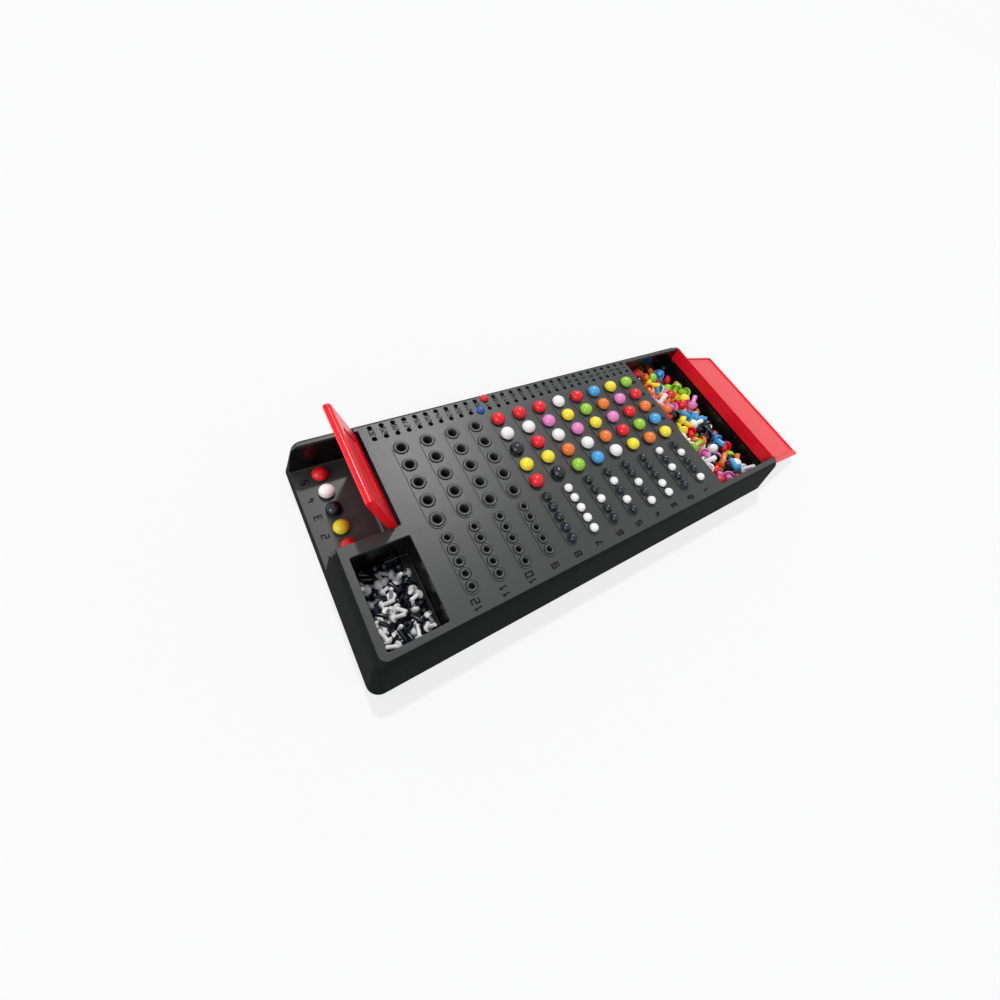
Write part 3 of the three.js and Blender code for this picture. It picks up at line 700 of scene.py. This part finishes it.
# The deck plate, traced round its three hollows
def deck_outline():
    """The deck's edge, in and out of the compartment, with its pins' notches, and of the store."""
    _, secret_right, secret_near, secret_far, _ = SECRET
    store_left, _, store_near, store_far, _ = STORE
    x, y = HALF_LENGTH, HALF_WIDTH
    notch_left, notch_right = SHIELD_AXIS[0] - SEAT_HALF, SHIELD_AXIS[0] + SEAT_HALF

    def side(y, notch_y):
        return [(-x, y), (notch_left, y), (notch_left, notch_y), (notch_right, notch_y), (notch_right, y),
                (secret_right, y)]

    outline = arc(x - STORE_FAR_CORNER, y - STORE_FAR_CORNER, STORE_FAR_CORNER, 0, 90, 4)
    outline += arc(-x + SHIELD_FAR_CORNER, y - SHIELD_FAR_CORNER, SHIELD_FAR_CORNER, 90, 180, 4)
    outline += side(secret_far, secret_far + SHIELD_SEAT_DEEP)
    outline += reversed(side(secret_near, secret_near - SHIELD_SEAT_DEEP))
    outline += arc(-x + DECK_CORNER, -y + DECK_CORNER, DECK_CORNER, 180, 270, 8)
    outline += arc(x - STORE_NEAR_CORNER, -y + STORE_NEAR_CORNER, STORE_NEAR_CORNER, 270, 360, 6)
    return outline + [(x, store_near), (store_left, store_near), (store_left, store_far), (x, store_far)]


deck_holes = [circle(x, y, SCORE_HOLE_R, SCORE_SIDES) for x in score_xs for y in (NEAR_SCORE_Y, FAR_SCORE_Y)]
deck_holes.append(rounded_box(*TRAY[:4], HOLLOW_CORNER))
for x, key_x in zip(row_xs, key_xs):
    deck_holes.append(lane(x, code_ys[0], code_ys[-1], CODE_PAD_R - LANE_OVERLAP))
    deck_holes.append(lane(key_x, key_ys[0], key_ys[-1], KEY_PAD_R - LANE_OVERLAP))
on_board(plate("deck_plate", deck_outline(), deck_holes, TOP - DECK_THICKNESS, TOP, deck_plastic))


def raised_lane(name, x, ys, pad_r, hole_r, sides):
    """A low pad round a row of sockets, its upright sides painted as dark as the body: painted shade."""
    holes = [circle(x, y, hole_r, sides) for y in ys]
    pad = plate(name, lane(x, ys[0], ys[-1], pad_r), holes, TOP - 1.0, PAD_TOP, deck_plastic, edge=0.12,
                edge_steps=1)
    # Painted shade: the pad's upright sides take the body's near-black finish, for the shadow along its edge
    finish_faces(pad, body_plastic, lambda at, normal: abs(normal.z) < 0.85)
    on_board(pad)


for row, (x, key_x) in enumerate(zip(row_xs, key_xs), 1):
    raised_lane(f"code_lane_{row}", x, code_ys, CODE_PAD_R, CODE_RING_R + MOAT, CODE_SIDES)
    raised_lane(f"key_lane_{row}", key_x, key_ys, KEY_PAD_R, KEY_RING_R + MOAT, KEY_SIDES)


def socket_shape(ring_r, mouth_r, hole_r, depth, sides):
    """A blind socket with a raised round collar, its top at zero. A foot below the pad carries it."""
    edge = 0.25
    lead_in = 1.5
    shell = 1.2
    under_pad = RING_TOP - PAD_TOP + 1.5
    foot_low = -under_pad - 0.6
    foot_r = ring_r + MOAT + 0.5
    return lathe([
        (0, -depth - shell), (hole_r + shell, -depth - shell), (hole_r + shell, foot_low),
        (foot_r, foot_low), (foot_r, -under_pad), (ring_r, -under_pad), (ring_r, -edge),
        (ring_r - edge * 0.3, -edge * 0.3), (ring_r - edge, 0),
        (mouth_r + 0.2, 0), (mouth_r, -0.15), (hole_r, -lead_in), (hole_r, -depth), (0, -depth),
    ], sides)


def source_piece(name, shape):
    return mesh_piece(name, shape, socket_plastic, ROUND_SHARP)


code_source = source_piece(
    "code_socket", socket_shape(CODE_RING_R, CODE_MOUTH_R, CODE_HOLE_R, CODE_DEPTH, CODE_SIDES))
key_socket_source = source_piece(
    "key_socket", socket_shape(KEY_RING_R, KEY_MOUTH_R, KEY_HOLE_R, SMALL_DEPTH, KEY_SIDES))
score_source = source_piece("score_socket", lathe([
    (0, -SMALL_DEPTH - 1), (SCORE_HOLE_R + 1, -SMALL_DEPTH - 1), (SCORE_HOLE_R + 1, -1), (SCORE_HOLE_R, -1),
    (SCORE_HOLE_R, -SMALL_DEPTH), (0, -SMALL_DEPTH)], 16))
for name, source, xs, ys, z in (
    ("code_sockets", code_source, row_xs, code_ys, RING_TOP),
    ("key_sockets", key_socket_source, key_xs, key_ys, RING_TOP),
    ("score_sockets", score_source, score_xs, [NEAR_SCORE_Y, FAR_SCORE_Y], TOP),
):
    on_board(in_rows(name, source, socket_plastic, xs, ys, z))
on_board(laid("secret_sockets", code_source, socket_plastic,
              [((SECRET_PEG_X, y, SECRET_RING_TOP), (0, 0, 0)) for y in secret_ys]))


# The flared walls, with a soft bevel at the rim and a soft edge at the foot
def body_walls():
    low = TOP - BEVEL_DROP
    slope = FLARE_OUT / low
    foot = BEVEL_OUT + FLARE_OUT
    corner = DECK_CORNER + 2
    inner = -DECK_SEAM - WALL * 0.6
    levels = [board_level(-DECK_SEAM, TOP - DECK_THICKNESS, DECK_CORNER),
              board_level(-DECK_SEAM, TOP - 0.12, DECK_CORNER),
              board_level(BEVEL_OUT - 0.9, low + 0.75, DECK_CORNER + 1.5),
              board_level(BEVEL_OUT - 0.35, low + 0.2, DECK_CORNER + 1.8),
              board_level(BEVEL_OUT, low - 0.5, corner),
              board_level(BEVEL_OUT + slope * 1.4, low - 1.4, corner)]
    bands = 7
    for i in range(1, bands):
        z = low * (1 - i / bands)
        levels.append(board_level(BEVEL_OUT + slope * (low - z), z, corner + (FOOT_CORNER - corner) * i / bands))
    levels += [board_level(foot - 0.05, 0.6, FOOT_CORNER), board_level(foot - 0.4, 0.0, FOOT_CORNER),
               board_level(foot - WALL, 0.0, FOOT_CORNER - 1.3), board_level(inner, low, DECK_CORNER - 1.5),
               board_level(inner, TOP - DECK_THICKNESS, DECK_CORNER - 1.5)]
    walls = solid("body_walls", stack(levels, looped=True), body_plastic)
    seat_left, seat_right, seat_low = LID_AXIS[0] - SEAT_HALF, LID_AXIS[0] + SEAT_HALF, LID_AXIS[1] - 2
    high = TOP + ABOVE
    walls = cut(walls, [
        box_cutter((-HALF_LENGTH - REACH, SECRET[2] - HAIR, SECRET[4] - HAIR),
                   (-HALF_LENGTH + END_STRIP, SECRET[3] + HAIR, high)),
        box_cutter((HALF_LENGTH - END_STRIP, STORE[2] - HAIR, STORE_END_TOP - HAIR),
                   (HALF_LENGTH + REACH, STORE[3] + HAIR, high)),
        box_cutter((seat_left, STORE[3] - 1, seat_low), (seat_right, STORE[3] + LID_SEAT_DEEP, high)),
        box_cutter((seat_left, STORE[2] - LID_SEAT_DEEP, seat_low), (seat_right, STORE[2] + 1, high)),
    ])
    # Painted sheen: the sloped faces of the rim's bevel take the lighter rim finish
    finish_faces(walls, rim_sheen_plastic, lambda at, normal: at.z > low - 0.3 and 0.4 < normal.z < 0.98)
    return walls


on_board(body_walls())


# The tubs under the hollows
def tub(name, space, finish=tub_plastic):
    left, right, near, far, floor = space
    depth = TOP - 0.6
    fillet = 1.2
    outer_corner = HOLLOW_CORNER + HOLLOW_SKIN

    def level(out, z, corner=HOLLOW_CORNER):
        return rounded_box(left - out, right + out, near - out, far + out, corner), z

    return solid(name, stack([
        level(HOLLOW_SKIN, floor - HOLLOW_SKIN, outer_corner), level(HOLLOW_SKIN, depth, outer_corner),
        level(0, depth), level(0, floor + fillet), level(-0.35, floor + fillet * 0.3),
        level(-fillet, floor)]), finish)


def body_form():
    """The board's outer form as one closed solid, to trim what stands in it."""
    return mesh_piece("form", stack([
        board_level(BEVEL_OUT + FLARE_OUT - HAIR, 0.2, FOOT_CORNER),
        board_level(BEVEL_OUT - HAIR, TOP - BEVEL_DROP, DECK_CORNER + 2),
        board_level(-HAIR, TOP - 0.1, DECK_CORNER)]), body_plastic)


on_board(calm(tub("key_tray", TRAY)))
past_the_end = 30
secret_tub = tub("secret_tub", (SECRET[0] - past_the_end, *SECRET[1:]), deck_plastic)
secret_tub = cut(secret_tub, [body_form()], "INTERSECT")
# Painted shade: the compartment's walls, picked by their direction, take the near-black tub finish, while its
# floor keeps the deck's grey
finish_faces(secret_tub, tub_plastic, lambda at, normal: abs(normal.z) < 0.7)
on_board(secret_tub)
on_board(cut(tub("store_tub", STORE), [
    box_cutter((HALF_LENGTH - END_STRIP, STORE[2], STORE_END_TOP), (HALF_LENGTH + REACH, STORE[3], TOP + ABOVE))]))
end_ledge = box_cutter((HALF_LENGTH + 1, STORE[2] - LEDGE, STORE_END_TOP - LEDGE),
                       (HALF_LENGTH + REACH, STORE[3] + LEDGE, STORE_END_TOP))
end_ledge.name = "store_end_ledge"
on_board(cut(end_ledge, [body_form()], "INTERSECT"))


# Raised numbers in square strokes, their tops towards the shield end. A digit is one high and WIDE wide
WIDE = 0.6
DIGIT_GAP = 0.34
STROKES = {
    "0": [[(0, 0), (WIDE, 0), (WIDE, 1), (0, 1), (0, 0)]],
    "1": [[(0.08, 0.72), (0.34, 1), (0.34, 0)]],
    "2": [[(0, 1), (WIDE, 1), (WIDE, 0.5), (0, 0.5), (0, 0), (WIDE, 0)]],
    "3": [[(0, 1), (WIDE, 1), (WIDE, 0), (0, 0)], [(0.1, 0.5), (WIDE, 0.5)]],
    "4": [[(0.1, 1), (0, 0.36), (WIDE, 0.36)], [(0.42, 0.7), (0.42, 0)]],
    "5": [[(WIDE, 1), (0, 1), (0, 0.52), (WIDE, 0.52), (WIDE, 0), (0, 0)]],
    "6": [[(WIDE, 1), (0, 1), (0, 0), (WIDE, 0), (WIDE, 0.52), (0, 0.52)]],
    "7": [[(0, 1), (WIDE, 1), (0.22, 0)]],
    "8": [[(0, 0), (WIDE, 0), (WIDE, 1), (0, 1), (0, 0)], [(0, 0.5), (WIDE, 0.5)]],
    "9": [[(WIDE, 0.48), (0, 0.48), (0, 1), (WIDE, 1), (WIDE, 0), (0, 0)]],
}


def ribbon(line, width):
    """The two sides of a stroke along a bent line, mitred at its bends."""
    left, right = [], []
    closed = line[0] == line[-1]
    for i, (x, y) in enumerate(line):
        before = line[i - 1] if i else (line[-2] if closed else None)
        after = line[i + 1] if i + 1 < len(line) else (line[1] if closed else None)
        ways = []
        for a, b in ((before, (x, y)), ((x, y), after)):
            if a and b:
                d = math.hypot(b[0] - a[0], b[1] - a[1])
                ways.append(((b[0] - a[0]) / d, (b[1] - a[1]) / d))
        wx, wy = sum(w[0] for w in ways), sum(w[1] for w in ways)
        size = math.hypot(wx, wy)
        nx, ny = -wy / size, wx / size
        reach = width / 2 / max(0.5, nx * -ways[0][1] + ny * ways[0][0])
        left.append((x + nx * reach, y + ny * reach))
        right.append((x - nx * reach, y - ny * reach))
    return left, right, closed


def numbers(name, entries, height, z, rise, stroke):
    """One piece from (number, x, y) entries: each number stands on its middle, in millimetres."""
    points, faces = [], []
    pitch = WIDE + DIGIT_GAP
    sunk = 0.2
    for number, x, y in entries:
        text = str(number)
        wide = pitch * (len(text) - 1) + WIDE
        for i, digit in enumerate(text):
            for line in STROKES[digit]:
                left, right, closed = ribbon(line, stroke / height)
                first = len(points)
                for lx, ly in left + right:
                    across, along = (lx + i * pitch - wide / 2) * height, (ly - 0.5) * height
                    for level in (z - sunk, z + rise):
                        points.append((x - along, y + across, level))
                n = len(left)
                for k in range(n - 1):
                    a, b = first + 2 * k, first + 2 * (k + 1)
                    c, d = a + 2 * n, b + 2 * n
                    faces += [(a + 1, b + 1, d + 1, c + 1), (a, c, d, b), (a, b, b + 1, a + 1),
                              (c + 1, d + 1, d, c)]
                if not closed:
                    for a in (first, first + 2 * (n - 1)):
                        faces.append((a, a + 1, a + 2 * n + 1, a + 2 * n))
    on_board(solid(name, (points, faces), number_plastic, NUMBER_SHARP))


numbers("row_numbers", [(row, x - ROW_NUMBER_SHIFT, ROW_NUMBER_Y) for row, x in enumerate(row_xs, 1)],
        height=4.5, z=TOP, rise=0.4, stroke=0.66)
numbers("score_numbers", [(column, x, (NEAR_SCORE_Y + FAR_SCORE_Y) / 2) for column, x in enumerate(score_xs, 1)],
        height=3.2, z=TOP, rise=0.15, stroke=0.56)
numbers("place_numbers", [(PLACES - i, PLACE_NUMBER_X, y - PLACE_NUMBER_SHIFT) for i, y in enumerate(code_ys)],
        height=3.8, z=TOP, rise=0.3, stroke=0.75)
numbers("secret_numbers",
        [(PLACES - i, SECRET_NUMBER_X, y - SECRET_NUMBER_SHIFT) for i, y in enumerate(secret_ys)],
        height=4.2, z=SECRET[4], rise=0.3, stroke=0.7)


# Shield and lid: drawn closed, then raised or thrown open about their pins
def turn_over(obj, axis, degrees, body, node):
    """Turns a piece about an axis along Y, less than nought lowering its +X side, and lets it ride."""
    a = math.radians(degrees)
    for v in obj.data.vertices:
        x, y, z = v.co / MM
        dx, dz = x - axis[0], z - axis[1]
        v.co = Vector((axis[0] + dx * math.cos(a) - dz * math.sin(a), y,
                       axis[1] + dx * math.sin(a) + dz * math.cos(a))) * MM
    stands_for(calm(obj), body, node)


def shield():
    """A leaf that narrows to its tip, hollow behind, with a shallow panel in its face, and its pins."""
    ax, az = SHIELD_AXIS
    face = az + SHIELD_BARREL_R
    tip_x = ax - SHIELD_REACH
    low, high = SECRET[2] + FIT_GAP, SECRET[3] - FIT_GAP
    far_below, far_above = az - SHIELD_BARREL_R - 4, face + 4

    def drawn_in(x):
        return SHIELD_TAPER * (ax - x) / SHIELD_REACH

    def plan(near_x, far_x, inset):
        return [(near_x, low + drawn_in(near_x) + inset), (near_x, high - drawn_in(near_x) - inset),
                (far_x, high - drawn_in(far_x) - inset), (far_x, low + drawn_in(far_x) + inset)]

    def block(name, outline, below, above):
        return solid(name, stack([(outline, below), (outline, above)]), shield_plastic)

    profile = arc(ax, az, SHIELD_BARREL_R, -90, 90, 14)
    profile += arc(tip_x + SHIELD_TIP_R, face - SHIELD_TIP_R, SHIELD_TIP_R, 90, 270, 14)
    leaf = solid("shield_leaf", along_y(profile, low, high, 0.05), shield_plastic)
    sides = block("sides", plan(ax + SHIELD_BARREL_R + 1, tip_x - 1, 0), far_below, far_above)
    leaf = cut(leaf, [sides], "INTERSECT")
    hollow = block("hollow", plan(ax - SHIELD_BARREL_R - 0.2, tip_x + SHIELD_TIP_R + SHIELD_WALL, SHIELD_WALL),
                   far_below, face - SHIELD_WALL)
    panel_back, panel_front, panel_side, corner = 11, 7, 12, 3
    (x0, y0), (_, y1), (x1, y2), (_, y3) = plan(ax - panel_back, tip_x + panel_front, panel_side)
    panel = [(x0, y0), (x0, y1), (x1 + corner, y2), (x1, y2 - corner), (x1, y3 + corner), (x1 + corner, y3)]
    pocket = block("pocket", panel, face - POCKET_DEEP, far_above)
    leaf = soften(cut(leaf, [hollow, pocket]), width=0.3, angle=40)
    # The panel's floor takes the paler, matt finish, its tint partly painted reflection
    finish_faces(leaf, shield_panel_matt_sheen_plastic, lambda at, normal: abs(at.z - face + POCKET_DEEP) < 0.05
                 and normal.z > 0.9 and x1 < at.x < x0)
    pins = solid("shield_pins", along_y(side_circle(SHIELD_AXIS, PIN_R), low - PIN_OUT, high + PIN_OUT, 0.3),
                 shield_plastic)
    for obj in (leaf, pins):
        turn_over(obj, SHIELD_AXIS, -SHIELD_RAISED, "shield", "code_shield")


def lid():
    """A panel with a locating rib under it, a flange, and the barrel with its pins and two nubs."""
    ax, az = LID_AXIS
    corner_x, face = ax + LID_BACK, az + LID_FACE_UP
    under = face - LID_THICK
    tip_x = corner_x - LID_REACH
    low_in, high_in = STORE[2] + FIT_GAP, STORE[3] - FIT_GAP
    low, high = STORE[2] - LID_NEAR_OVER, STORE[3] - LID_FAR_INSIDE
    back_x = corner_x - LID_NECK
    r = LID_CORNER_R
    outline = [(corner_x, low_in), (corner_x, high)]
    outline += arc(tip_x + r, high - r, r, 90, 180, 5) + arc(tip_x + r, low + r, r, 180, 270, 5)
    outline += [(back_x, low), (back_x, low_in)]
    panel = plate("lid_panel", outline, [], under, face, lid_plastic, edge=0.4, edge_steps=3)

    def oblong(inset):
        left, right = STORE[0] + FIT_GAP + 0.1 + inset, back_x - inset
        near, far = low_in + inset, high - FIT_GAP - inset
        return [(left, near), (right, near), (right, far), (left, far)]

    rib = plate("lid_rib", oblong(0), [oblong(1.6)], under - 0.8, under + 0.8, lid_plastic)
    tilt = math.radians(LID_TILT)
    across = LID_THICK / math.cos(tilt)
    fx, fz = corner_x + LID_FLANGE * math.sin(tilt), face - LID_FLANGE * math.cos(tilt)
    profile = [(fx, fz + 0.5), (fx - 0.15, fz + 0.15), (fx - 0.5, fz), (fx - across + 0.5, fz),
               (fx - across + 0.15, fz + 0.15), (fx - across, fz + 0.5), (corner_x - across, face),
               (corner_x - 0.45, face), (corner_x - 0.15, face - 0.15), (corner_x, face - 0.45)]
    pieces = [panel, rib]
    nub_r, nub_long = 1.8, 2.6
    nub_outline = side_circle((fx - across, fz + nub_r), nub_r)
    for name, side, near, far, soft in (
        ("lid_flange", profile, low_in, high_in, 0.4),
        ("lid_barrel", side_circle(LID_AXIS, LID_BARREL_R), low_in + 0.05, high_in - 0.05, 0.3),
        ("lid_pins", side_circle(LID_AXIS, PIN_R), low_in - PIN_OUT, high_in + PIN_OUT, 0.3),
        ("lid_nub_near", nub_outline, low_in, low_in + nub_long, 0.3),
        ("lid_nub_far", nub_outline, high_in - nub_long, high_in, 0.3),
    ):
        pieces.append(solid(name, along_y(side, near, far, soft), lid_plastic))
    for obj in pieces:
        turn_over(obj, LID_AXIS, -LID_OPEN, "lid", "storage_lid")


shield()
lid()

# Loose pegs: dropped into their hollow and left to settle. The drop runs a hundred times life size,
# where the solver is steady
DROP_SCALE = 0.1
BOX_SIDE = 20
BOX_TALL = 90
DROP_PITCH = 15
DROP_FROM = 9
DROP_SHAKE = 2
BOUNCE = 0.1
SUBSTEPS = 12
SOLVER_STEPS = 20
COLLISION_MARGIN = 0.005


def box_sides(space):
    """The floor and the four sides of a hollow, as lowest and highest corners of thick slabs."""
    left, right, near, far, floor = space
    t = BOX_SIDE
    low, high = floor - t, floor + BOX_TALL
    return (
        ((left - t, near - t, low), (right + t, far + t, floor)),
        ((left - t, near - t, low), (left, far + t, high)),
        ((right, near - t, low), (right + t, far + t, high)),
        ((left - t, near - t, low), (right + t, near, high)),
        ((left - t, far, low), (right + t, far + t, high)),
    )


def settled(space, hull, count, seed, lean, frames, friction):
    """Drops copies of a hull into a box and returns where each one comes to rest.

    Lean tips the box, so that the heap lies against one side. A peg that leaves the box, or stands
    too high for the lid, is left out.
    """
    left, right, near, far, floor = space
    scene = bpy.context.scene
    chance = random.Random(seed)
    bpy.ops.rigidbody.world_add()
    world = scene.rigidbody_world
    world.substeps_per_frame = SUBSTEPS
    world.solver_iterations = SOLVER_STEPS
    world.point_cache.frame_start = 1
    world.point_cache.frame_end = frames
    scene.gravity = lean
    made = []

    def body(obj, kind, shape):
        with bpy.context.temp_override(object=obj, active_object=obj, selected_objects=[obj]):
            bpy.ops.rigidbody.object_add()
        obj.rigid_body.type = kind
        obj.rigid_body.collision_shape = shape
        obj.rigid_body.friction = friction
        obj.rigid_body.restitution = BOUNCE
        obj.rigid_body.use_margin = True
        obj.rigid_body.collision_margin = COLLISION_MARGIN
        made.append(obj)

    for low, high in box_sides(space):
        half = [(h - l) / 2 * DROP_SCALE for l, h in zip(low, high)]
        mesh = bpy.data.meshes.new("side")
        points, faces = box([-h for h in half], half)
        mesh.from_pydata(points, [], faces)
        side = link(bpy.data.objects.new("side", mesh))
        side.location = Vector([(l + h) / 2 for l, h in zip(low, high)]) * DROP_SCALE
        body(side, "PASSIVE", "BOX")
    points, faces = hull
    tall_up, tall_down = max(p[2] for p in points), -min(p[2] for p in points)
    drop_mesh = bpy.data.meshes.new("drop")
    drop_mesh.from_pydata([Vector(p) * DROP_SCALE for p in points], [], faces)
    drops = []
    across = max(1, int((right - left) / DROP_PITCH))
    along = max(1, int((far - near) / DROP_PITCH))
    for i in range(count):
        drop = link(bpy.data.objects.new("drop", drop_mesh))
        layer, spot = divmod(i, across * along)
        ix, iy = spot % across, spot // across
        drop.location = Vector((
            left + (ix + 0.5) * (right - left) / across + chance.uniform(-DROP_SHAKE, DROP_SHAKE),
            near + (iy + 0.5) * (far - near) / along + chance.uniform(-DROP_SHAKE, DROP_SHAKE),
            floor + DROP_FROM + DROP_PITCH * layer + chance.uniform(0, 3))) * DROP_SCALE
        drop.rotation_mode = "XYZ"
        drop.rotation_euler = [chance.uniform(0, 2 * math.pi) for _ in range(3)]
        body(drop, "ACTIVE", "CONVEX_HULL")
        drops.append(drop)
    for step in range(1, frames + 1):
        scene.frame_set(step)
    graph = bpy.context.evaluated_depsgraph_get()
    rest = []
    spare = 2
    for drop in drops:
        where = drop.evaluated_get(graph).matrix_world
        x, y, z = where.translation / DROP_SCALE
        up_share = where.to_3x3().normalized()[2][2]
        crown = max(z + tall_up * up_share, z - tall_down * up_share) + spare
        if left < x < right and near < y < far and floor < z and crown < HEAP_TOP:
            rest.append(((x, y, z), tuple(where.to_euler())))
    bpy.ops.rigidbody.world_remove()
    for obj in made:
        bpy.data.objects.remove(obj)
    scene.frame_set(1)
    scene.gravity = (0, 0, -9.81)
    return rest


def heap(name, space, hull, shape, colours, count, seed, lean, frames, friction, own_x=None):
    """A heap in mixed colours, one piece for each. Pegs left of own_x stand for the loose pegs' solid."""
    places = settled(space, hull, count, seed, lean, frames, friction)
    source = source_piece(f"{name}_source", shape)
    chance = random.Random(seed + 1)
    places.sort(key=lambda place: place[0][1])
    order = []
    for _ in places:
        near_by = order[-len(colours) // 2:]
        order.append(chance.choice([colour for colour in colours if len(colours) < 3 or colour not in near_by]))
    for colour in sorted(set(colours)):
        mine = [place for place, own in zip(places, order) if own == colour]
        for part in ("left", "right"):
            here = [place for place in mine if (own_x is not None and place[0][0] < own_x) == (part == "left")]
            if not here:
                continue
            pile = laid(f"{name}_{part}_{colour}", source, peg_plastic[colour], here)
            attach(pile, "board")
            if part == "left":
                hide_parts("loose_code_pegs")
    bpy.data.objects.remove(source)


def shorter(space, amount):
    """A hollow whose right side comes in by an amount."""
    return (space[0], space[1] - amount) + space[2:]


peg_hull = lathe([(0, -LOOSE_STEM), (1.3, -LOOSE_STEM), (4.7, 0), (4.5, 1.6), (2.6, 4.2),
                  (0, CODE_CAP_RISE - 0.2)], 10)
key_hull = lathe([(0, -LOOSE_KEY_STEM), (0.8, -LOOSE_KEY_STEM), (KEY_CAP_R - 0.2, 0), (KEY_CAP_R * 0.8, 1.8),
                  (0, KEY_CAP_RISE - 0.2)], 8)
heap("store_pegs", shorter(STORE, 5), peg_hull, loose_peg_shape(18, 6),
     ("red", "green", "orange", "blue", "yellow", "pink", "white", "black"),
     count=165, seed=11, lean=(-0.7, 0, -9.6), frames=130, friction=0.4, own_x=LOOSE_SOLID_RIGHT)
heap("tray_keys", shorter(TRAY, 3), key_hull,
     small_peg_shape(KEY_CAP_R, LOOSE_KEY_RISE, KEY_STEM_R, LOOSE_KEY_STEM, 14, 5, base=0),
     ("white", "black"), count=62, seed=5, lean=(-1.0, -1.2, -9.0), frames=110, friction=0.35)
for source in (code_source, key_socket_source, score_source, key_source):
    bpy.data.objects.remove(source)

# Kept solids: cover and screws
kept = {"base_cover": cover_plastic, **{f"base_screw_{i}": zinc_plate for i in range(1, 7)}}
for name, finish in kept.items():
    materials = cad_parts[name].data.materials
    materials.clear()
    materials.append(finish)

# Floor, light and world
FLOOR_HALF = 12.0
WHITE = 0.97
FLOOR_GLOW = 0.75
AIR = 0.4
SKY = 0.96


def looked_at(tree):
    """One for a ray that comes from the camera, or by way of a mirror or glass, and otherwise nought."""
    path = tree.nodes.new("ShaderNodeLightPath")
    seen = path.outputs["Is Camera Ray"]
    for kind in ("Is Glossy Ray", "Is Transmission Ray"):
        either = tree.nodes.new("ShaderNodeMath")
        either.operation = "MAXIMUM"
        tree.links.new(seen, either.inputs[0])
        tree.links.new(path.outputs[kind], either.inputs[1])
        seen = either.outputs[0]
    return seen


def mixed(tree, share, plain, seen, output):
    """Leads a mix of two shaders to an output."""
    mix = tree.nodes.new("ShaderNodeMixShader")
    for wire, end in ((share, "Fac"), (plain, 1), (seen, 2)):
        tree.links.new(wire, mix.inputs[end])
    tree.links.new(mix.outputs["Shader"], tree.nodes[output].inputs["Surface"])


def paper(name, colour, glow):
    """A pale matt sheet, part of whose white is its own where it is looked at, and which keeps the shadow."""
    material = bpy.data.materials.new(name)
    material.use_nodes = True
    tree = material.node_tree
    shader = fill(tree.nodes["Principled BSDF"], Base_Color=(*colour, 1), Roughness=0.9, Specular_IOR_Level=0.1)
    white = add(tree, "ShaderNodeEmission", Strength=WHITE)
    share = add(tree, "ShaderNodeMath")
    share.operation = "MULTIPLY"
    share.inputs[1].default_value = glow
    tree.links.new(looked_at(tree), share.inputs[0])
    mixed(tree, share.outputs[0], shader.outputs["BSDF"], white.outputs["Emission"], "Material Output")
    return material


corners = [(x * FLOOR_HALF, y * FLOOR_HALF, 0) for x, y in ((-1, -1), (1, -1), (1, 1), (-1, 1))]
floor_mesh = bpy.data.meshes.new("floor")
floor_mesh.from_pydata(corners, [], [(0, 1, 2, 3)])
floor_mesh.materials.append(paper("floor_paper", (0.86, 0.86, 0.87), FLOOR_GLOW))
floor = link(bpy.data.objects.new("floor", floor_mesh))

world = bpy.data.worlds.new("studio")
bpy.context.scene.world = world
world.use_nodes = True
tree = world.node_tree
air = fill(tree.nodes["Background"], Color=(0.97, 0.98, 1.0, 1), Strength=AIR)
sky = add(tree, "ShaderNodeBackground", Color=(1, 1, 1, 1), Strength=SKY)
mixed(tree, looked_at(tree), air.outputs["Background"], sky.outputs["Background"], "World Output")


def sun(name, towards, strength, angle):
    """A far lamp, given the direction that it shines from."""
    data = bpy.data.lights.new(name, "SUN")
    data.energy = strength
    data.angle = math.radians(angle)
    obj = link(bpy.data.objects.new(name, data))
    obj.rotation_euler = Vector(towards).to_track_quat("Z", "Y").to_euler()


sun("key_lamp", (0.29, 0.62, 1.0), strength=1.8, angle=3.5)
sun("fill_lamp", (-1.0, -0.3, 0.7), strength=1.3, angle=35)

bpy.context.scene.view_settings.view_transform = "Standard"
